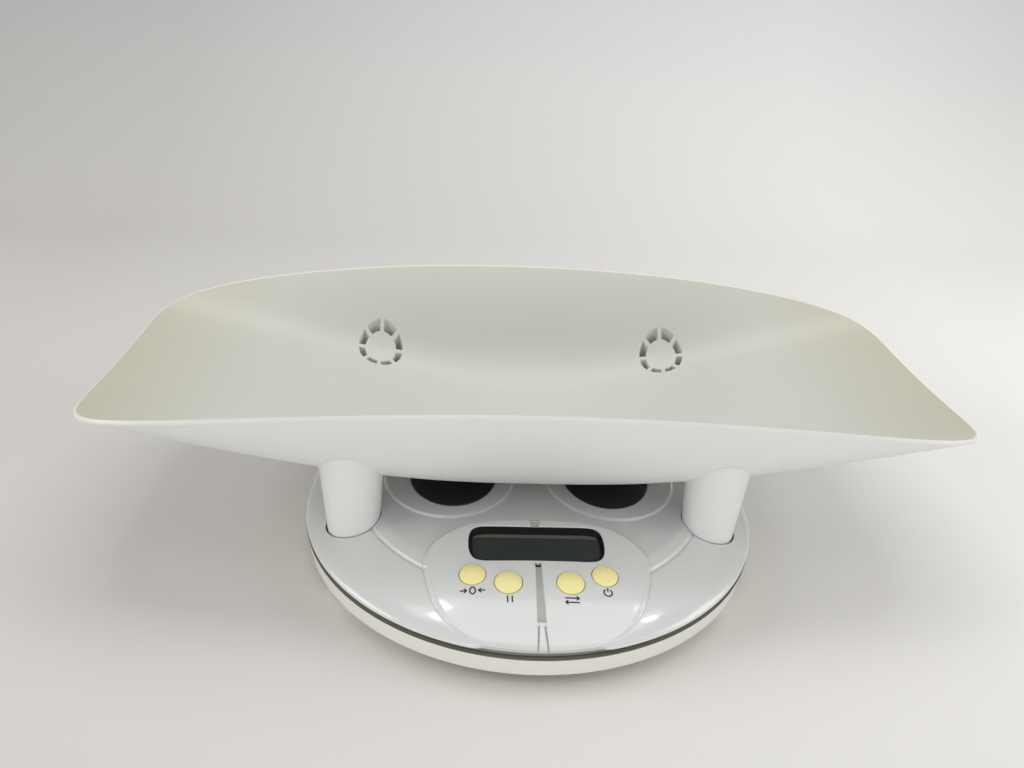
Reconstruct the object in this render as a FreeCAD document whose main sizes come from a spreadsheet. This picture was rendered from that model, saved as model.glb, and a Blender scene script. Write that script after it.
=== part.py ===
import FreeCAD, Part
import math
import os
import re
import Sketcher
from FreeCAD import Placement, Rotation, Vector

# Digital baby weighing scale: a cradle tray on four hollow legs stands in the wells of a
# domed platform cover, which rides on a load cell in a shallow base.
# +Z is up, +X is to the user's right, the user stands at -Y, and the floor is at Z = 0.

doc = FreeCAD.newDocument("BabyScale")
sheet = doc.addObject("Spreadsheet::Sheet", "Sizes")
SIZES = {
    # tray
    "tray_length": 560.0, "tray_width": 260.5, "tray_depth": 82.6, "tray_wall": 3.0,
    "tray_centre_y": 32.8, "rim_height": 131.0,
    "tray_end_power": 2.82, "tray_front_power": 7.35, "tray_rear_power": 7.65,
    "tray_bowl_power": 0.585,
    "rim_droop": 24.7, "rim_droop_power": 2.05, "tip_droop": 7.4, "tip_droop_power": 6.0,
    "rim_edge_radius": 0.8,
    # legs and the slot rings over them
    "leg_x": 112.9, "leg_y": 90.45, "leg_foot_radius": 15.6, "leg_taper": 0.075,
    "leg_wall": 1.6, "leg_foot_level": 21.0, "leg_web_level": 59.0,
    "slot_outer_radius": 17.2, "slot_inner_radius": 12.15, "slot_spoke": 2.9,
    "slot_disc_shift": 1.2, "leg_core_radius": 10.2,
    # plan outline of the platform
    "platform_radius": 148.0, "platform_y": -15.05,
    "corner_radius": 46.0, "corner_x": 99.0, "corner_y": 108.0,
    # platform cover
    "cover_edge_level": 24.2, "cover_lip": 1.7, "cover_wall": 2.5,
    "dome_rise": 1.25, "dome_power": 0.62, "step_inset": 35.0, "step_rise": 1.0,
    "crown_inset": 42.0, "skirt_inset": 3.6, "skirt_wall": 1.8, "skirt_level": 15.0,
    "well_clearance": 0.8, "well_wall": 2.0, "well_floor": 20.8,
    # raised island that carries the display and the buttons
    "island_base": 0.7, "island_rise": 17.7, "island_reach": 120.0, "island_power": 3.2,
    "island_draft": 2.4, "groove_top_width": 3.4, "groove_end_width": 5.0,
    "groove_depth": 1.6, "groove_start_y": -104.0, "groove_end_y": -147.0,
    "fork_start_y": -149.0, "fork_end_y": -165.0, "fork_end_width": 6.6, "fork_line": 0.7,
    # plateaus with grip pads for a standing child's feet
    "plateau_x": 54.0, "plateau_half_width": 44.0, "plateau_nose": 50.0,
    "plateau_rise": 1.3, "pad_x": 51.5, "pad_half_width": 29.0, "pad_nose": 38.0,
    "pad_thickness": 1.5,
    "pad_front_y": -11.0, "pad_rear_y": 70.0, "pad_depth": 1.2, "pad_gap": 0.15,
    # display, in its own frame tilted about X
    "display_y": -89.5, "display_level": 41.8, "display_tilt": 4.0,
    "display_half_length": 40.8, "display_half_width": 15.6,
    "display_end_power": 7.0, "display_side_power": 4.0,
    "pane_side": 2.2, "pane_front": 2.0, "pane_thickness": 1.6, "pane_play": 0.1,
    "glass_length": 66.0, "glass_width": 21.6, "glass_thickness": 2.4,
    "strip_length": 60.0, "strip_width": 2.4, "pane_drop": 4.0, "frame_drop": 1.25,
    "board_drop": 10.2, "frame_depth": 7.6, "frame_play": 0.2, "frame_flange": 1.2,
    "flange_side": 3.0, "flange_front": 1.2, "mouth_side": 1.2, "mouth_front": 1.0,
    # circuit board
    "board_length": 102.0, "board_width": 58.0, "board_thickness": 1.6, "board_shift": -13.0,
    "board_corner": 3.0, "board_post_inset": 4.0, "board_post_radius": 3.0,
    "front_post_height": 5.0, "rear_post_height": 8.2,
    "chip_side": 14.0, "chip_height": 1.4, "chip_x": 8.0, "chip_y": 6.0, "chip_lead_pitch": 1.5,
    "switch_side": 6.0, "switch_height": 2.2, "plunger_radius": 1.6, "plunger_height": 0.4,
    # buttons
    "outer_button_x": 38.2, "outer_button_y": -115.2, "outer_button_radius": 7.5,
    "inner_button_x": 17.8, "inner_button_y": -121.5, "inner_button_radius": 7.9,
    "button_gap": 0.35, "button_crown": 2.5, "button_edge": 0.3,
    "flange_extra": 1.3, "flange_drop": 3.1, "flange_thickness": 0.9, "nub_radius": 1.8,
    "nub_height": 0.5,
    # base
    "base_top": 19.0, "base_bottom": 6.0, "base_wall": 2.8, "base_floor": 2.5,
    "base_taper": 1.6, "base_round": 1.2, "pod_radius": 24.0, "pod_draft": 1.5,
    "pod_reach": 121.0, "pod_angle": 213.0,
    "rear_pod_x": 103.0, "rear_pod_y": 112.0,
    "pod_level": 1.2, "rubber_radius": 13.0, "rubber_height": 2.2, "rubber_round": 0.6,
    # weighing mechanism
    "mech_y": 32.8, "cell_length": 80.0, "cell_side": 12.7, "cell_bore": 5.2,
    "cell_bore_pitch": 15.0, "cell_slot": 4.0, "cell_screw_x": 31.0, "cell_screw_reach": 6.0,
    "mount_length": 130.0, "mount_width": 64.0, "sheet_thickness": 2.0, "mount_boss": 1.0,
    "mount_boss_radius": 5.0, "mount_screw_inset": 6.0, "mount_hole_depth": 2.2,
    "spacer_length": 22.0, "spacer_thickness": 2.0,
    "load_plate_length": 168.0, "load_plate_width": 104.0, "load_plate_corner": 8.0,
    "mount_corner": 5.0, "stop_x": 72.0, "stop_y": 38.0, "stop_gap": 1.0,
    "stop_radius": 2.5, "stop_boss_radius": 5.5, "stop_boss_top": 18.0, "stop_seat": 1.0,
    "post_x": 58.0, "post_y": 42.0, "post_radius": 4.0, "post_hole_depth": 4.2,
    # screws
    "small_screw": 1.4, "medium_screw": 1.9, "screw_play": 0.05, "cell_screw_radius": 2.45,
    "hole_play": 0.1, "thread_bite": 0.2,
    # battery bay in the base floor
    "bay_y": 118.0, "bay_length": 55.0, "bay_width": 29.0, "bay_top": 26.5, "bay_wall": 1.6,
    "battery_length": 46.5, "battery_width": 26.5, "battery_height": 17.2, "battery_level": 8.2,
    "door_length": 58.8, "door_thickness": 1.45, "door_gap": 0.3, "hinge_offset": 16.0,
    "hinge_level": 7.25, "barrel_radius": 1.2, "pin_radius": 0.7, "pin_play": 0.1,
    "hinge_neck": 2.0, "socket_depth": 2.0, "pin_reach": 1.8,
    "door_front_reach": 12.0, "door_rear_reach": 17.2, "ledge_depth": 1.6, "door_recess": 0.05,
    "grip_length": 16.0, "grip_width": 0.8, "grip_depth": 0.5, "grip_pitch": 1.8, "grip_y": 8.0,
    "lead_y": 8.0, "lead_level": 19.2, "lead_hole_radius": 2.2, "wire_radius": 0.6,
}
for row, (alias, value) in enumerate(SIZES.items(), start=1):
    sheet.set("A%d" % row, alias)
    sheet.set("B%d" % row, str(value))
    sheet.setAlias("B%d" % row, alias)
doc.recompute()

UP = Vector(0, 0, 1)
ALONG_X = Vector(1, 0, 0)
parts = []


def size(alias):
    return float(getattr(sheet, alias))


def bound(formula):
    """Turn the sheet's words in a formula into references to its cells."""
    return re.sub(r"[a-z][a-z_]*", lambda word: "Sizes." + word.group(), str(formula))


def bind(thing, **formulas):
    for name, formula in formulas.items():
        thing.setExpression(name, bound(formula))
    return thing


def put(thing, x, y, z, turn=None):
    """Place a piece, turned first, at a point given by three formulas."""
    if turn:
        thing.Placement = Placement(Vector(), turn)
    for axis, formula in zip("xyz", (x, y, z)):
        thing.setExpression("Placement.Base." + axis, bound(formula))
    return thing


def box(name, length, width, height, x="0", y="0", z="0"):
    """Box centred in X and Y on its point, standing on it."""
    made = bind(doc.addObject("Part::Box", name), Length=length, Width=width, Height=height)
    return put(made, "(%s) - (%s) / 2" % (x, length), "(%s) - (%s) / 2" % (y, width), z)


def rod(name, radius, height, x="0", y="0", z="0", turn=None):
    made = bind(doc.addObject("Part::Cylinder", name), Radius=radius, Height=height)
    return put(made, x, y, z, turn)


def cone(name, low_radius, high_radius, height, x="0", y="0", z="0"):
    made = bind(doc.addObject("Part::Cone", name),
                Radius1=low_radius, Radius2=high_radius, Height=height)
    return put(made, x, y, z)


def fused(name, pieces):
    made = doc.addObject("Part::MultiFuse", name)
    made.Shapes = pieces
    return made


def cut(name, base, tool):
    made = doc.addObject("Part::Cut", name)
    made.Base = base
    made.Tool = tool if not isinstance(tool, list) else fused(name + "_tools", tool)
    return made


def common(name, first, second):
    made = doc.addObject("Part::MultiCommon", name)
    made.Shapes = [first, second]
    return made


def group(name, pieces):
    """Separate solids that share one node."""
    made = doc.addObject("Part::Compound", name)
    made.Links = pieces
    return made


def shaped(name, shape):
    made = doc.addObject("Part::Feature", name)
    made.Shape = shape
    return made


def part(label, thing, place=None):
    thing.Label = label
    if place:
        thing.Placement = place
    parts.append(thing)
    return thing


def origin_plane(owner, role):
    return next(item for item in owner.Origin.OriginFeatures if item.Role == role)


def drawing(owner, name, role="XY_Plane"):
    drawn = owner.newObject("Sketcher::SketchObject", name)
    drawn.AttachmentSupport = [(origin_plane(owner, role), "")]
    drawn.MapMode = "FlatFace"
    return drawn


def draw_rectangle(drawn, length, width):
    """Rectangle centred on the origin, with both sides bound to the sheet."""
    corners = [Vector(-9, -5, 0), Vector(9, -5, 0), Vector(9, 5, 0), Vector(-9, 5, 0)]
    for start, end in zip(corners, corners[1:] + corners[:1]):
        drawn.addGeometry(Part.LineSegment(start, end))
    for side in range(4):
        drawn.addConstraint(Sketcher.Constraint("Coincident", side, 2, (side + 1) % 4, 1))
        drawn.addConstraint(Sketcher.Constraint("Vertical" if side % 2 else "Horizontal", side))
    drawn.addConstraint(Sketcher.Constraint("Symmetric", 0, 1, 2, 1, -1, 1))
    for side, formula in ((0, length), (1, width)):
        number = drawn.addConstraint(Sketcher.Constraint("Distance", side, 10.0 + side))
        drawn.setExpression("Constraints[%d]" % number, bound(formula))


def draw_circle(drawn, radius, x="0", y="0"):
    edge = drawn.addGeometry(Part.Circle(Vector(1, 1, 0), UP, 3.0))
    for kind, formula in (("DistanceX", x), ("DistanceY", y)):
        number = drawn.addConstraint(Sketcher.Constraint(kind, -1, 1, edge, 3, 1.0))
        drawn.setExpression("Constraints[%d]" % number, bound(formula))
    number = drawn.addConstraint(Sketcher.Constraint("Radius", edge, 3.0))
    drawn.setExpression("Constraints[%d]" % number, bound(radius))


def pad(owner, drawn, height, name):
    made = owner.newObject("PartDesign::Pad", name)
    made.Profile = drawn
    made.setExpression("Length", bound(height))
    drawn.Visibility = False
    return made


def drill(owner, name, holes, depth):
    """Pocket of round holes, upward from the body's lower face; holes are (radius, x, y)."""
    before = owner.Shape.Volume
    drawn = drawing(owner, name + "_drawing")
    for radius, x, y in holes:
        draw_circle(drawn, radius, x, y)
    made = owner.newObject("PartDesign::Pocket", name)
    made.Profile = drawn
    made.Reversed = True
    made.setExpression("Length", bound(depth))
    doc.recompute()
    if owner.Shape.Volume >= before:
        raise RuntimeError(name + " removed nothing")
    return made


def plate(label, length, width, thickness, corner, holes):
    """Flat plate with rounded corners and drilled holes."""
    owner = doc.addObject("PartDesign::Body", label + "_body")
    outline = drawing(owner, label + "_outline")
    draw_rectangle(outline, length, width)
    flat = pad(owner, outline, thickness, label + "_pad")
    doc.recompute()
    upright = [number for number, edge in enumerate(flat.Shape.Edges, start=1)
               if abs(edge.tangentAt(edge.FirstParameter).z) > 0.9]
    rounded = owner.newObject("PartDesign::Fillet", label + "_corners")
    rounded.Base = (flat, ["Edge%d" % number for number in upright])
    rounded.setExpression("Radius", bound(corner))
    doc.recompute()
    drill(owner, label + "_holes", holes, thickness)
    return owner


def four(x, y):
    """The four mirrored positions about the origin, as formulas."""
    return [("%s(%s)" % (sx, x), "%s(%s)" % (sy, y)) for sx in ("", "-") for sy in ("", "-")]


def screw(name, radius, reach, head_radius, head_height, x, y, z, downward=True):
    """Cross-headed screw: z is the seat under the head, and the shaft reaches away from it."""
    shaft = rod(name + "_shaft", radius, reach, x, y,
                "%s - (%s)" % (z, reach) if downward else z)
    head_foot = z if downward else "%s - (%s)" % (z, head_height)
    head = rod(name + "_head", head_radius, head_height, x, y, head_foot)
    recess_foot = "%s + (%s) * 0.5" % (z, head_height) if downward else (
        "%s - (%s) * 1.1" % (z, head_height))
    deep = "(%s) * 0.6" % head_height
    cross = [box(name + "_cross" + str(turn), *span, deep, x, y, recess_foot)
             for turn, span in enumerate([(head_radius, "%s / 4" % head_radius),
                                          ("%s / 4" % head_radius, head_radius)])]
    return cut(name, fused(name + "_blank", [shaft, head]), cross)


# ---------------------------------------------------------------- outlines and surfaces

def power_outline(half_length, half_width, end_power, side_powers):
    """Closed pillow-shaped curve |x/a|^n + |y/b|^m = 1; side_powers are front and rear m."""
    count = 96
    points = []
    for number in range(count):
        turn = 2 * math.pi * number / count
        turn -= 0.2 * math.sin(4 * turn)
        across, along = math.cos(turn), math.sin(turn)
        side_power = side_powers[0] if along < 0 else side_powers[1]
        points.append(Vector(
            half_length * math.copysign(abs(across) ** (2 / end_power), across),
            half_width * math.copysign(abs(along) ** (2 / side_power), along), 0))
    curve = Part.BSplineCurve()
    curve.interpolate(points, PeriodicFlag=True)
    return Part.Wire([curve.toShape()])


def prism(wire, low, high):
    base = wire.copy()
    base.translate(Vector(0, 0, low - base.BoundBox.ZMin))
    return Part.Face(base).extrude(Vector(0, 0, high - low))


def platform_outline(inset, level):
    """Plan outline of the platform, moved inward: a round front, straight sides that lean
    in slightly, two rear corners and a straight rear edge."""
    disc = Vector(0, size("platform_y"), level)
    corner = Vector(size("corner_x"), size("corner_y"), level)
    big = size("platform_radius") - inset
    small = size("corner_radius") - inset
    run = corner - disc
    lean = math.atan2(run.y, run.x) - math.acos(
        (size("platform_radius") - size("corner_radius")) / run.Length)
    side = Vector(math.cos(lean), math.sin(lean), 0)
    slant = Vector(math.cos(math.pi / 4), math.sin(math.pi / 4), 0)
    rear = Vector(0, 1, 0)

    def mirrored(point):
        return Vector(-point.x, point.y, point.z)

    front_right = disc + side * big
    side_right = corner + side * small
    slant_right = corner + slant * small
    rear_right = corner + rear * small
    edges = [
        Part.Arc(mirrored(front_right), disc - rear * big, front_right).toShape(),
        Part.makeLine(front_right, side_right),
        Part.Arc(side_right, slant_right, rear_right).toShape(),
        Part.makeLine(rear_right, mirrored(rear_right)),
        Part.Arc(mirrored(rear_right), mirrored(slant_right), mirrored(side_right)).toShape(),
        Part.makeLine(mirrored(side_right), mirrored(front_right)),
    ]
    return Part.Wire(edges)


def platform_loft(sections, ruled=False):
    """Solid through parallel outlines; sections are (inset, level)."""
    return Part.makeLoft([platform_outline(*section) for section in sections], True, ruled)


def dome_height(inset):
    return size("dome_rise") * inset ** size("dome_power")


def island_height(inset):
    remaining = max(0.0, 1 - inset / size("island_reach"))
    return size("island_base") + size("island_rise") * (1 - remaining ** size("island_power"))


def surface_inset(x, y):
    return size("platform_radius") - math.hypot(x, y - size("platform_y"))


def island_frame(x, y):
    """Frame on the island's surface at a point: its Z axis is the surface's normal."""
    inset = surface_inset(x, y)
    rise = (island_height(inset + 0.05) - island_height(inset - 0.05)) / 0.1
    outward = Vector(x, y - size("platform_y"), 0).normalize()
    normal = (UP + outward * rise).normalize()
    level = size("cover_edge_level") + island_height(inset)
    return Placement(Vector(x, y, level), Rotation(UP, normal))


def display_frame_place():
    return Placement(Vector(0, size("display_y"), size("display_level")),
                     Rotation(ALONG_X, size("display_tilt")))


# ---------------------------------------------------------------- tray with its legs

def tray_inner_height(x, y):
    half_length, half_width = tray_inner_half_sizes()
    across = abs(x) / half_length
    along = abs(y) / half_width
    side_power = size("tray_front_power") if y < 0 else size("tray_rear_power")
    fill = across ** size("tray_end_power") + along ** side_power
    return (-size("rim_droop") * across ** size("rim_droop_power")
            - size("tip_droop") * across ** size("tip_droop_power") * (1 - along * along)
            - size("tray_depth") * (1 - fill ** size("tray_bowl_power")))


def tray_inner_half_sizes():
    """The rim's edge faces outward along the wall's normal: almost all of the wall at the
    steep long sides, and a sixth of it at the flat ends."""
    return (size("tray_length") / 2 - size("tray_wall") / 6,
            size("tray_width") / 2 - size("tray_wall") * 0.92)


def leg_radius(level):
    return size("leg_foot_radius") + size("leg_taper") * (level - size("leg_foot_level"))


def make_tray():
    half_length, half_width = tray_inner_half_sizes()
    margin = 7.0
    columns, rows = 48, 32
    grid = []
    for column in range(columns + 1):
        x = (half_length + margin) * (2 * column / columns - 1)
        line = []
        for row in range(rows + 1):
            y = (half_width + margin) * (2 * row / rows - 1)
            line.append(Vector(x, y, tray_inner_height(x, y)))
        grid.append(line)
    surface = Part.BSplineSurface()
    surface.interpolate(grid)
    outline = power_outline(half_length, half_width, size("tray_end_power"),
                            (size("tray_front_power"), size("tray_rear_power")))
    skin = surface.toShape().common(prism(outline, -150, 150)).Faces[0]
    shell = skin.makeOffsetShape(-size("tray_wall"), 0.01, fill=True).Solids[0]
    rim = [edge for edge in shell.Edges if edge.Length > size("tray_length")]
    shell = shell.makeFillet(size("rim_edge_radius"), rim)
    under = skin.extrude(Vector(0, 0, -150))
    lift = Vector(0, size("tray_centre_y"), size("rim_height"))
    shell.translate(lift)
    under.translate(lift)
    under_wall = under.copy()
    under_wall.translate(Vector(0, 0, -size("tray_wall") * 1.2))
    foot, web, top = size("leg_foot_level"), size("leg_web_level"), 110.0
    added, removed = [], []
    for centre in well_centres():
        centre += UP * foot
        leg = Part.makeCone(leg_radius(foot), leg_radius(top), top - foot, centre)
        added.append(leg.common(under))
        removed.append(Part.makeCone(leg_radius(foot) - size("leg_wall"),
                                     leg_radius(web) - size("leg_wall"), web - foot, centre))
        inward = math.copysign(size("slot_disc_shift"), size("tray_centre_y") - centre.y)
        disc_centre = centre + Vector(0, inward, 0)
        core = Part.makeCylinder(size("leg_core_radius"), top - foot, disc_centre)
        removed += [core.common(under_wall), slot_ring(centre, disc_centre)]
    shell = shell.fuse(added).cut(removed)
    return shell.removeSplitter().Solids[0]


def slot_ring(centre, disc_centre):
    """Eight slots in a ring between a round disc and the leg's wall."""
    web, top = size("leg_web_level") - 0.5, 110.0
    ring = Part.makeCylinder(size("slot_outer_radius"), top - web,
                             Vector(centre.x, centre.y, web))
    disc = Part.makeCylinder(size("slot_inner_radius"), top - web,
                             Vector(disc_centre.x, disc_centre.y, web))
    spokes = []
    for number in range(4):
        spoke = Part.makeBox(60, size("slot_spoke"), top - web,
                             Vector(-30, -size("slot_spoke") / 2, web))
        spoke.rotate(Vector(), UP, 45 * number)
        spoke.translate(Vector(disc_centre.x, disc_centre.y, 0))
        spokes.append(spoke)
    return ring.cut([disc] + spokes)


# ---------------------------------------------------------------- platform cover

def island_outline(spread, level):
    """Plan outline of the island: round at the rear, narrowing to the front edge."""
    half = [(24, -166), (43.5, -152.5), (56.5, -136), (63.5, -116.5), (65.6, -102),
            (61.6, -88.5), (54, -80), (44, -73), (24, -68)]
    centre = Vector(0, -110, 0)
    right = [Vector(x, y, 0) for x, y in half]
    left = [Vector(-x, y, 0) for x, y in reversed(half)]
    points = []
    for point in right + [Vector(0, -66.6, 0)] + left:
        away = point - centre
        points.append(point + away * (spread / away.Length) + UP * level)
    curve = Part.BSplineCurve()
    curve.interpolate(points)
    return Part.Wire([curve.toShape(), Part.makeLine(points[-1], points[0])])


def island_body(drop):
    """Turned body whose upper surface is the island's, lowered by drop."""
    axis_y, edge = size("platform_y"), size("cover_edge_level")
    insets = [size("island_reach") * number / 16 for number in range(17)]
    curve = Part.BSplineCurve()
    curve.interpolate([Vector(0, axis_y - size("platform_radius") + inset,
                              edge + island_height(inset) - drop) for inset in insets])
    outer, inner = curve.StartPoint, curve.EndPoint
    low = edge - 8
    corners = [inner, Vector(0, axis_y, inner.z), Vector(0, axis_y, low),
               Vector(0, outer.y, low), outer]
    edges = [curve.toShape()]
    edges += [Part.makeLine(start, end) for start, end in zip(corners, corners[1:])]
    face = Part.Face(Part.Wire(edges))
    return face.revolve(Vector(0, axis_y, 0), UP, 360)


def oval_outline(half_width, nose, front_y, rear_y, level):
    """Long oval about x = 0: straight sides with half an ellipse at each end."""
    def half_ellipse(y, turn):
        ellipse = Part.Ellipse(Vector(0, y + nose, level), Vector(half_width, y, level),
                               Vector(0, y, level))
        return Part.Arc(ellipse, turn + math.pi / 2, turn + 3 * math.pi / 2).toShape()
    front = half_ellipse(front_y, 0)
    rear = half_ellipse(rear_y, math.pi)
    sides = [Part.makeLine(Vector(side * half_width, front_y, level),
                           Vector(side * half_width, rear_y, level)) for side in (-1, 1)]
    return Part.Wire(Part.__sortEdges__([front, rear] + sides))


def crown_level():
    return size("cover_edge_level") + dome_height(size("crown_inset")) + size("step_rise")


def plateau_level():
    return crown_level() + size("plateau_rise")


def dome(wall):
    """The cover's domed body; a wall above 0 gives the hollow inside it."""
    edge = size("cover_edge_level") - wall * 0.95
    insets = [0, 1.5, 4, 9, 16, 25, size("step_inset")]
    body = platform_loft([(inset + wall, edge + dome_height(inset)) for inset in insets])
    step, crown = size("step_inset"), size("crown_inset")
    step_level = edge + dome_height(step)
    upper = platform_loft([(step + wall, step_level - 3),
                           (step + wall, step_level + size("step_rise")),
                           (crown + wall, edge + dome_height(crown) + size("step_rise"))], True)
    lip = prism(platform_outline(wall, 0), edge - size("cover_lip"), edge)
    return body.fuse([upper, lip])


def island_rise(wall):
    high, low = size("cover_edge_level") + 26, size("cover_edge_level") + 2
    draft = size("island_draft")
    sides = Part.makeLoft([island_outline(draft - wall, low),
                           island_outline(-draft - wall, high)], True, True)
    return island_body(wall).common(sides)


def pad_centre_line():
    return size("pad_front_y"), size("pad_rear_y")


def plateaus():
    made = []
    for side in (-1, 1):
        wire = oval_outline(size("plateau_half_width"), size("plateau_nose"),
                            *pad_centre_line(), 0)
        solid = prism(wire, crown_level() - 6, plateau_level())
        top = [edge for edge in solid.Edges
               if edge.BoundBox.ZMin > plateau_level() - 0.1]
        solid = solid.makeFillet(size("plateau_rise") * 0.9, top)
        solid.translate(Vector(side * size("plateau_x"), 0, 0))
        made.append(solid)
    return made


def well_centres():
    return [Vector(side_x * size("leg_x"), size("tray_centre_y") + side_y * size("leg_y"), 0)
            for side_x in (-1, 1) for side_y in (-1, 1)]


def well_cone(extra, low, high):
    """Cone of a leg, grown by extra, from low to high, at the origin."""
    return Part.makeCone(leg_radius(low) + extra, leg_radius(high) + extra, high - low,
                         Vector(0, 0, low))


def groove_tools():
    """Shallow centre groove that widens towards the front, and the fork of two narrow
    grooves that runs on from it over the front edge."""
    half_top, half_end = size("groove_top_width") / 2, size("groove_end_width") / 2
    start, end = size("fork_start_y"), size("fork_end_y")
    outer, line = size("fork_end_width") / 2, size("fork_line")
    shapes = [[(-half_top, size("groove_start_y")), (half_top, size("groove_start_y")),
               (half_end, size("groove_end_y")), (-half_end, size("groove_end_y"))]]
    for side in (-1, 1):
        shapes.append([(side * line / 2, start), (side * half_end, start),
                       (side * outer, end), (side * (outer - line), end)])
    floor = island_body(size("groove_depth"))
    tools = []
    for corners in shapes:
        points = [Vector(x, y, 0) for x, y in corners]
        tools.append(prism(Part.makePolygon(points + points[:1]), 0, 60).cut(floor))
    return tools


def button_places():
    outer = (size("outer_button_x"), size("outer_button_y"), size("outer_button_radius"))
    inner = (size("inner_button_x"), size("inner_button_y"), size("inner_button_radius"))
    return {"button_zero": (-outer[0], *outer[1:]), "button_hold": (-inner[0], *inner[1:]),
            "button_unit": inner, "button_power": outer}


def post_places():
    return [Vector(side_x * size("post_x"), size("mech_y") + side_y * size("post_y"), 0)
            for side_x in (-1, 1) for side_y in (-1, 1)]


def load_plate_level():
    """Upper face of the plate that carries the cover."""
    return (size("base_bottom") + size("base_floor") + size("mount_boss")
            + 2 * size("sheet_thickness") + 2 * size("spacer_thickness") + size("cell_side"))


def board_post_places():
    inset = size("board_post_inset")
    reach = size("board_length") / 2 - inset
    near = size("board_shift") - size("board_width") / 2 + inset
    far = size("board_shift") + size("board_width") / 2 - inset
    return [(side * reach, y) for side in (-1, 1) for y in (near, far)]


def board_posts():
    """Posts on the cover's underside, square to the tilted board."""
    posts = []
    for x, y in board_post_places():
        height = size("rear_post_height" if y > size("board_shift") else "front_post_height")
        foot = Vector(x, y, -size("board_drop"))
        post = Part.makeCylinder(size("board_post_radius"), height, foot)
        hole = Part.makeCylinder(size("small_screw") - size("thread_bite"), height / 2, foot)
        post = post.cut(hole)
        post.Placement = display_frame_place()
        posts.append(post)
    return posts


def make_cover():
    edge = size("cover_edge_level")
    outer = dome(0).fuse([island_rise(0)] + plateaus()).removeSplitter()
    hollow = dome(size("cover_wall")).fuse(island_rise(size("cover_wall")))
    cover = outer.cut(hollow)
    inside = prism(platform_outline(size("skirt_inset"), 0), 10, edge).fuse(outer)
    skirt = prism(platform_outline(size("skirt_inset"), 0), size("skirt_level"), 60).cut(
        prism(platform_outline(size("skirt_inset") + size("skirt_wall"), 0), 0, 70))
    added = [skirt.common(inside)]
    removed = []
    floor = size("well_floor")
    for centre in well_centres():
        wall = well_cone(size("well_clearance") + size("well_wall"),
                         floor - size("well_wall"), 60)
        space = well_cone(size("well_clearance"), floor, 60)
        wall.translate(centre)
        space.translate(centre)
        added.append(wall.common(inside))
        removed.append(space)
    for centre in post_places():
        low = load_plate_level()
        post = Part.makeCylinder(size("post_radius"), 60 - low, centre + UP * low)
        added.append(post.common(inside))
        removed.append(Part.makeCylinder(size("medium_screw"), size("post_hole_depth"),
                                         centre + UP * low))
    added += [post.common(inside) for post in board_posts()]
    cover = cover.fuse(added)
    opening = prism(power_outline(size("display_half_length"), size("display_half_width"),
                                  size("display_end_power"), [size("display_side_power")] * 2),
                    -12, 6)
    opening.Placement = display_frame_place()
    removed += [opening] + groove_tools()
    for x, y, radius in button_places().values():
        hole = Part.makeCylinder(radius + size("button_gap"), 12, Vector(0, 0, -6))
        hole.Placement = island_frame(x, y)
        removed.append(hole)
    for side in (-1, 1):
        recess = prism(oval_outline(size("pad_half_width"), size("pad_nose"),
                                    *pad_centre_line(), 0),
                       plateau_level() - size("pad_depth"), plateau_level() + 5)
        recess.translate(Vector(side * size("pad_x"), 0, 0))
        removed.append(recess)
    return cover.cut(removed).removeSplitter()


def make_foot_pad(side):
    gap = size("pad_gap")
    low = plateau_level() - size("pad_depth")
    wire = oval_outline(size("pad_half_width") - gap, size("pad_nose") - gap,
                        *pad_centre_line(), 0)
    solid = prism(wire, low, low + size("pad_thickness"))
    top = [edge for edge in solid.Edges if edge.BoundBox.ZMin > low + 1.0]
    solid = solid.makeFillet(0.5, top)
    solid.translate(Vector(side * size("pad_x"), 0, 0))
    return solid


# ---------------------------------------------------------------- base housing

def pod_places():
    """Foot pods: two under the round front and two under the rear corners."""
    angle = math.radians(size("pod_angle"))
    reach = size("pod_reach")
    front_x = -reach * math.cos(angle)
    front_y = size("platform_y") + reach * math.sin(angle)
    return {"front_left": Vector(-front_x, front_y, 0), "front_right": Vector(front_x, front_y, 0),
            "rear_left": Vector(-size("rear_pod_x"), size("rear_pod_y"), 0),
            "rear_right": Vector(size("rear_pod_x"), size("rear_pod_y"), 0)}


def stop_places():
    return [Vector(side_x * size("stop_x"), size("mech_y") + side_y * size("stop_y"), 0)
            for side_x in (-1, 1) for side_y in (-1, 1)]


def mount_screw_places():
    """Mounting plate screws, in from its edges."""
    x, y = (size(side) / 2 - size("mount_screw_inset") for side in ("mount_length", "mount_width"))
    return [Vector(side_x * x, size("mech_y") + side_y * y, 0)
            for side_x in (-1, 1) for side_y in (-1, 1)]


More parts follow.
